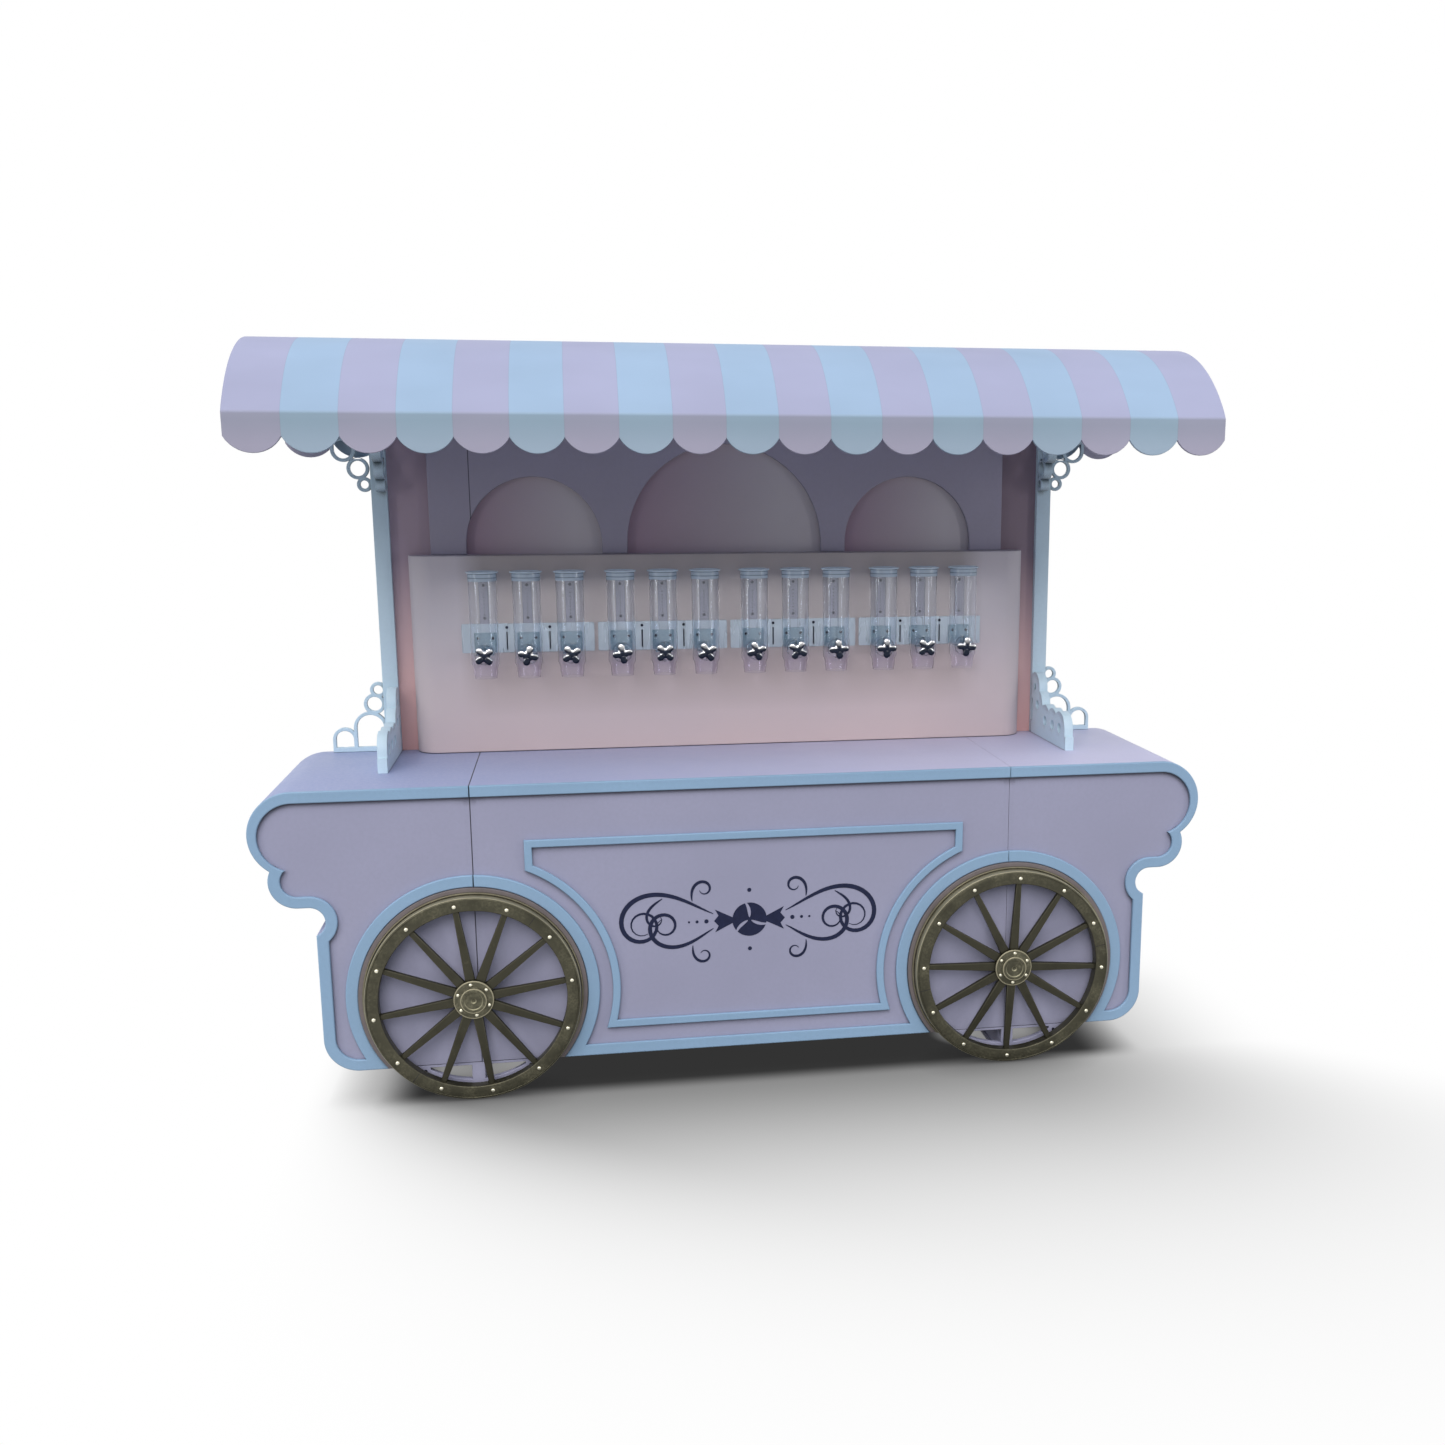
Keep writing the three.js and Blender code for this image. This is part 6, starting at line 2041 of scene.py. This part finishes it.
def floor_tone(finish, stage):
    """Painted floor tone: white far off, a painted dark under the cart, and a painted wide soft shadow that
    leans to the front right.
    """
    calc, product = finish.math, finish.product

    def ease(value, low, high):
        node = finish.node("ShaderNodeMapRange", interpolation_type="SMOOTHSTEP")
        node.inputs["From Min"].default_value = low
        node.inputs["From Max"].default_value = high
        finish.link(value, node.inputs["Value"])
        return node.outputs[0]

    x, y, _ = finish.parts()
    front, back, side = FRONT, CENTRE_HIGH.y, bpy.context.scene.cart_counter.side_x
    soft = stage.contact
    # The painted wide shadow before the cart, more blurred with its distance
    fade_power, left_growth, left_soft, right_growth, right_soft = 1.4, 0.7, 0.2, 0.5, 0.5
    away = calc("MAXIMUM", calc("SUBTRACT", front, y), 0.0)
    depth = calc("POWER", calc("DIVIDE", away, stage.shadow_reach), fade_power)
    strength = product(calc("EXPONENT", product(depth, -1.0)), stage.shadow)
    leaning = calc("SUBTRACT", x, product(away, stage.shadow_lean))
    left_blur = calc("MULTIPLY_ADD", away, left_growth, left_soft)
    right_blur = calc("MULTIPLY_ADD", away, right_growth, right_soft)
    left = ease(calc("DIVIDE", calc("ADD", leaning, side - soft), left_blur), -1, 1)
    right = ease(calc("DIVIDE", calc("SUBTRACT", side, leaning), right_blur), -1, 1)
    behind = ease(y, back + 3 * soft, back - soft)
    shadow = product(product(strength, behind), product(left, right))
    # The painted dark right under the cart
    from_left = ease(product(x, -1.0), side - soft, side - 2.2 * soft)
    across_x = product(from_left, ease(x, side + soft / 4, side - 1.5 * soft))
    from_front = ease(y, front - soft / 2, front + soft / 4)
    across_y = product(from_front, ease(y, back + soft, back - soft))
    under = product(across_x, across_y)
    # Two lighter patches behind the wheels, painted light, of these half sizes
    patch_x, patch_y = 0.2, 0.14
    beside = calc("SUBTRACT", calc("ABSOLUTE", x), WHEEL_X)
    out_x = calc("POWER", calc("DIVIDE", beside, patch_x), 2)
    offset = calc("ADD", out_x, calc("POWER", calc("DIVIDE", y, patch_y), 2))
    dark = calc("ADD", product(ease(offset, 1, 0), stage.under_light), stage.under)
    open_floor = product(calc("SUBTRACT", 1.0, shadow), calc("SUBTRACT", 1.0, under))
    return calc("ADD", open_floor, product(dark, under))


def build_floor(stage):
    """A pale floor with the cart's painted shadow, darker still where ambient occlusion finds the cart close
    by.
    """
    half = stage.floor_half
    mesh = bpy.data.meshes.new("floor")
    corners = [(a, b, 0) for a, b in rectangle(-half, half, -half, half)]
    mesh.from_pydata(corners, [], [(0, 1, 2, 3)])
    floor = bpy.data.objects.new("floor", mesh)
    bpy.context.scene.collection.objects.link(floor)
    finish = Finish("pale floor")
    finish.set(Base_Color=(0.3, 0.3, 0.3, 1), Roughness=0.9, Specular_IOR_Level=0.0)
    nearby = finish.node("ShaderNodeAmbientOcclusion", samples=12)
    nearby.inputs["Distance"].default_value = stage.contact
    touch = finish.spread(nearby.outputs["AO"], 0, 1, 0.25, 1)
    glow = finish.node("ShaderNodeEmission")
    finish.link(finish.product(floor_tone(finish, stage), touch), glow.inputs["Strength"])
    seen = seen_directly(finish.tree)
    mix_shaders(finish.tree, seen, finish.shader, glow, "Material Output")
    mesh.materials.append(finish.material)


def build_sky(stage):
    """Even light from the sky, stronger overhead; the camera sees white."""
    world = bpy.data.worlds.new("sky light")
    bpy.context.scene.world = world
    world.use_nodes = True
    tree = world.node_tree
    way = tree.nodes.new("ShaderNodeTexCoord")
    parts = tree.nodes.new("ShaderNodeSeparateXYZ")
    tree.links.new(way.outputs["Generated"], parts.inputs[0])
    rise = tree.nodes.new("ShaderNodeMapRange")
    rise.interpolation_type = "SMOOTHSTEP"
    for key, value in SKY_RISE:
        rise.inputs[key].default_value = value
    tree.links.new(parts.outputs["Z"], rise.inputs["Value"])
    sky = tree.nodes["Background"]
    sky.inputs["Color"].default_value = SKY_COLOUR
    tree.links.new(math_node(tree, "MULTIPLY", rise.outputs[0], stage.sky), sky.inputs["Strength"])
    white = tree.nodes.new("ShaderNodeBackground")
    white.inputs["Color"].default_value = (1, 1, 1, 1)
    white.inputs["Strength"].default_value = 1.0
    mix_shaders(tree, seen_directly(tree), sky, white, "World Output")


def hung(name, data, place, turn):
    """An object for a lamp or the camera, at its place and turned."""
    holder = bpy.data.objects.new(name, data)
    holder.location = place
    holder.rotation_euler = turn
    bpy.context.scene.collection.objects.link(holder)
    return holder


# How far the wide lamps spread, in degrees
LAMP_SPREAD = 50
# The wide lamps: name, setting with its strength, colour and the side that it shines from
WIDE_LAMPS = (
    ("key light", "key", (1.0, 0.99, 0.98), (-1.6, 1.5, 2.6)),
    ("front light", "fill", (1.0, 0.97, 0.96), (-0.7, -2.6, 2.7)),
)
# The tall lamps at the sides: width, height, place of the right one, and what they shine at
TALL_LAMP = (0.5, 4.0)
TALL_LAMP_PLACE, TALL_LAMP_AIM = Vector((7, -4.0, 2.0)), Vector((0, 0, 1.3))
# The camera that the photograph's perspective gave: place, turns down and aside, and shift
CAMERA_PLACE, CAMERA_DOWN, CAMERA_ASIDE = (-0.4554, -4.18495, 1.7293), 0.191172, 0.173749
CAMERA_SHIFT = (-0.0763, 0.0237)


def build_stage():
    """Floor, even light from all round, soft lamps, and the camera at the photograph's angle."""
    scene = bpy.context.scene
    stage = scene.cart_stage
    build_floor(stage)
    build_sky(stage)
    for name, setting, tone, place in WIDE_LAMPS:
        lamp = bpy.data.lights.new(name, "SUN")
        lamp.energy = getattr(stage, setting)
        lamp.angle = math.radians(LAMP_SPREAD)
        lamp.color = tone
        hung(name, lamp, place, Vector(place).to_track_quat("Z", "Y").to_euler())
    for side in (-1, 1):
        lamp = bpy.data.lights.new("strip light", "AREA")
        lamp.shape = "RECTANGLE"
        lamp.size, lamp.size_y = TALL_LAMP
        lamp.energy = stage.strip
        place = Vector((side * TALL_LAMP_PLACE.x, *TALL_LAMP_PLACE.yz))
        hung("strip light", lamp, place, (TALL_LAMP_AIM - place).to_track_quat("-Z", "Y").to_euler())
    camera = bpy.data.cameras.new("camera")
    camera.sensor_width = 36
    camera.lens = stage.lens
    camera.shift_x, camera.shift_y = CAMERA_SHIFT
    scene.camera = hung("camera", camera, CAMERA_PLACE, (QUARTER - CAMERA_DOWN, 0, -CAMERA_ASIDE))
    scene.view_settings.view_transform = "Standard"


# Operators and panel


class CART_OT_stage(bpy.types.Operator):
    """Make the floor, lamps and camera."""

    bl_idname = "cart.stage"
    bl_label = "Stage"

    def execute(self, context):
        build_stage()
        return {"FINISHED"}


class CART_OT_counter(bpy.types.Operator):
    """Make the cabinets, trim, frame, skids and ornament."""

    bl_idname = "cart.counter"
    bl_label = "Counter"

    def execute(self, context):
        dress_nodes()
        build_cabinets()
        build_trim()
        build_arch_liners()
        build_frame()
        build_skids()
        build_ornament()
        return {"FINISHED"}


class CART_OT_wheels(bpy.types.Operator):
    """Make the two spoked wheels."""

    bl_idname = "cart.wheels"
    bl_label = "Wheels"

    def execute(self, context):
        build_wheels()
        return {"FINISHED"}


class CART_OT_walls(bpy.types.Operator):
    """Make the arch panel and the dispenser box."""

    bl_idname = "cart.walls"
    bl_label = "Walls"

    def execute(self, context):
        build_walls()
        return {"FINISHED"}


class CART_OT_posts(bpy.types.Operator):
    """Make the posts and their ring brackets."""

    bl_idname = "cart.posts"
    bl_label = "Posts"

    def execute(self, context):
        build_posts()
        return {"FINISHED"}


class CART_OT_canopy(bpy.types.Operator):
    """Make the striped barrel canopy."""

    bl_idname = "cart.canopy"
    bl_label = "Canopy"

    def execute(self, context):
        build_canopy()
        return {"FINISHED"}


class CART_OT_dispensers(bpy.types.Operator):
    """Make the canisters, lids, knobs and plates."""

    bl_idname = "cart.dispensers"
    bl_label = "Dispensers"

    def execute(self, context):
        build_canisters()
        build_lids()
        build_knobs()
        build_plates()
        build_dots()
        return {"FINISHED"}


class CART_OT_screws(bpy.types.Operator):
    """Make the small screws."""

    bl_idname = "cart.screws"
    bl_label = "Screws"

    def execute(self, context):
        build_screws()
        return {"FINISHED"}


OPERATORS = (
    CART_OT_stage, CART_OT_counter, CART_OT_wheels, CART_OT_walls, CART_OT_posts,
    CART_OT_canopy, CART_OT_dispensers, CART_OT_screws,
)


class CART_PT_panel(bpy.types.Panel):
    """Lists the steps that build the cart."""

    bl_idname = "CART_PT_panel"
    bl_label = "Candy buffet cart"
    bl_space_type = "VIEW_3D"
    bl_region_type = "UI"
    bl_category = "Cart"

    def draw(self, context):
        for operator in OPERATORS:
            self.layout.operator(operator.bl_idname)


def register():
    """Registers the sizes, operators and panel."""
    for name, group in GROUPS:
        bpy.utils.register_class(group)
        setattr(bpy.types.Scene, name, bpy.props.PointerProperty(type=group))
    for operator in OPERATORS:
        bpy.utils.register_class(operator)
    bpy.utils.register_class(CART_PT_panel)


def unregister():
    """Takes them away again."""
    bpy.utils.unregister_class(CART_PT_panel)
    for operator in reversed(OPERATORS):
        bpy.utils.unregister_class(operator)
    for name, group in reversed(GROUPS):
        delattr(bpy.types.Scene, name)
        bpy.utils.unregister_class(group)


def main():
    """Builds the whole cart."""
    register()
    bpy.ops.cart.stage()
    bpy.ops.cart.counter()
    bpy.ops.cart.wheels()
    bpy.ops.cart.walls()
    bpy.ops.cart.posts()
    bpy.ops.cart.canopy()
    bpy.ops.cart.dispensers()
    bpy.ops.cart.screws()


if __name__ == "__main__":
    main()
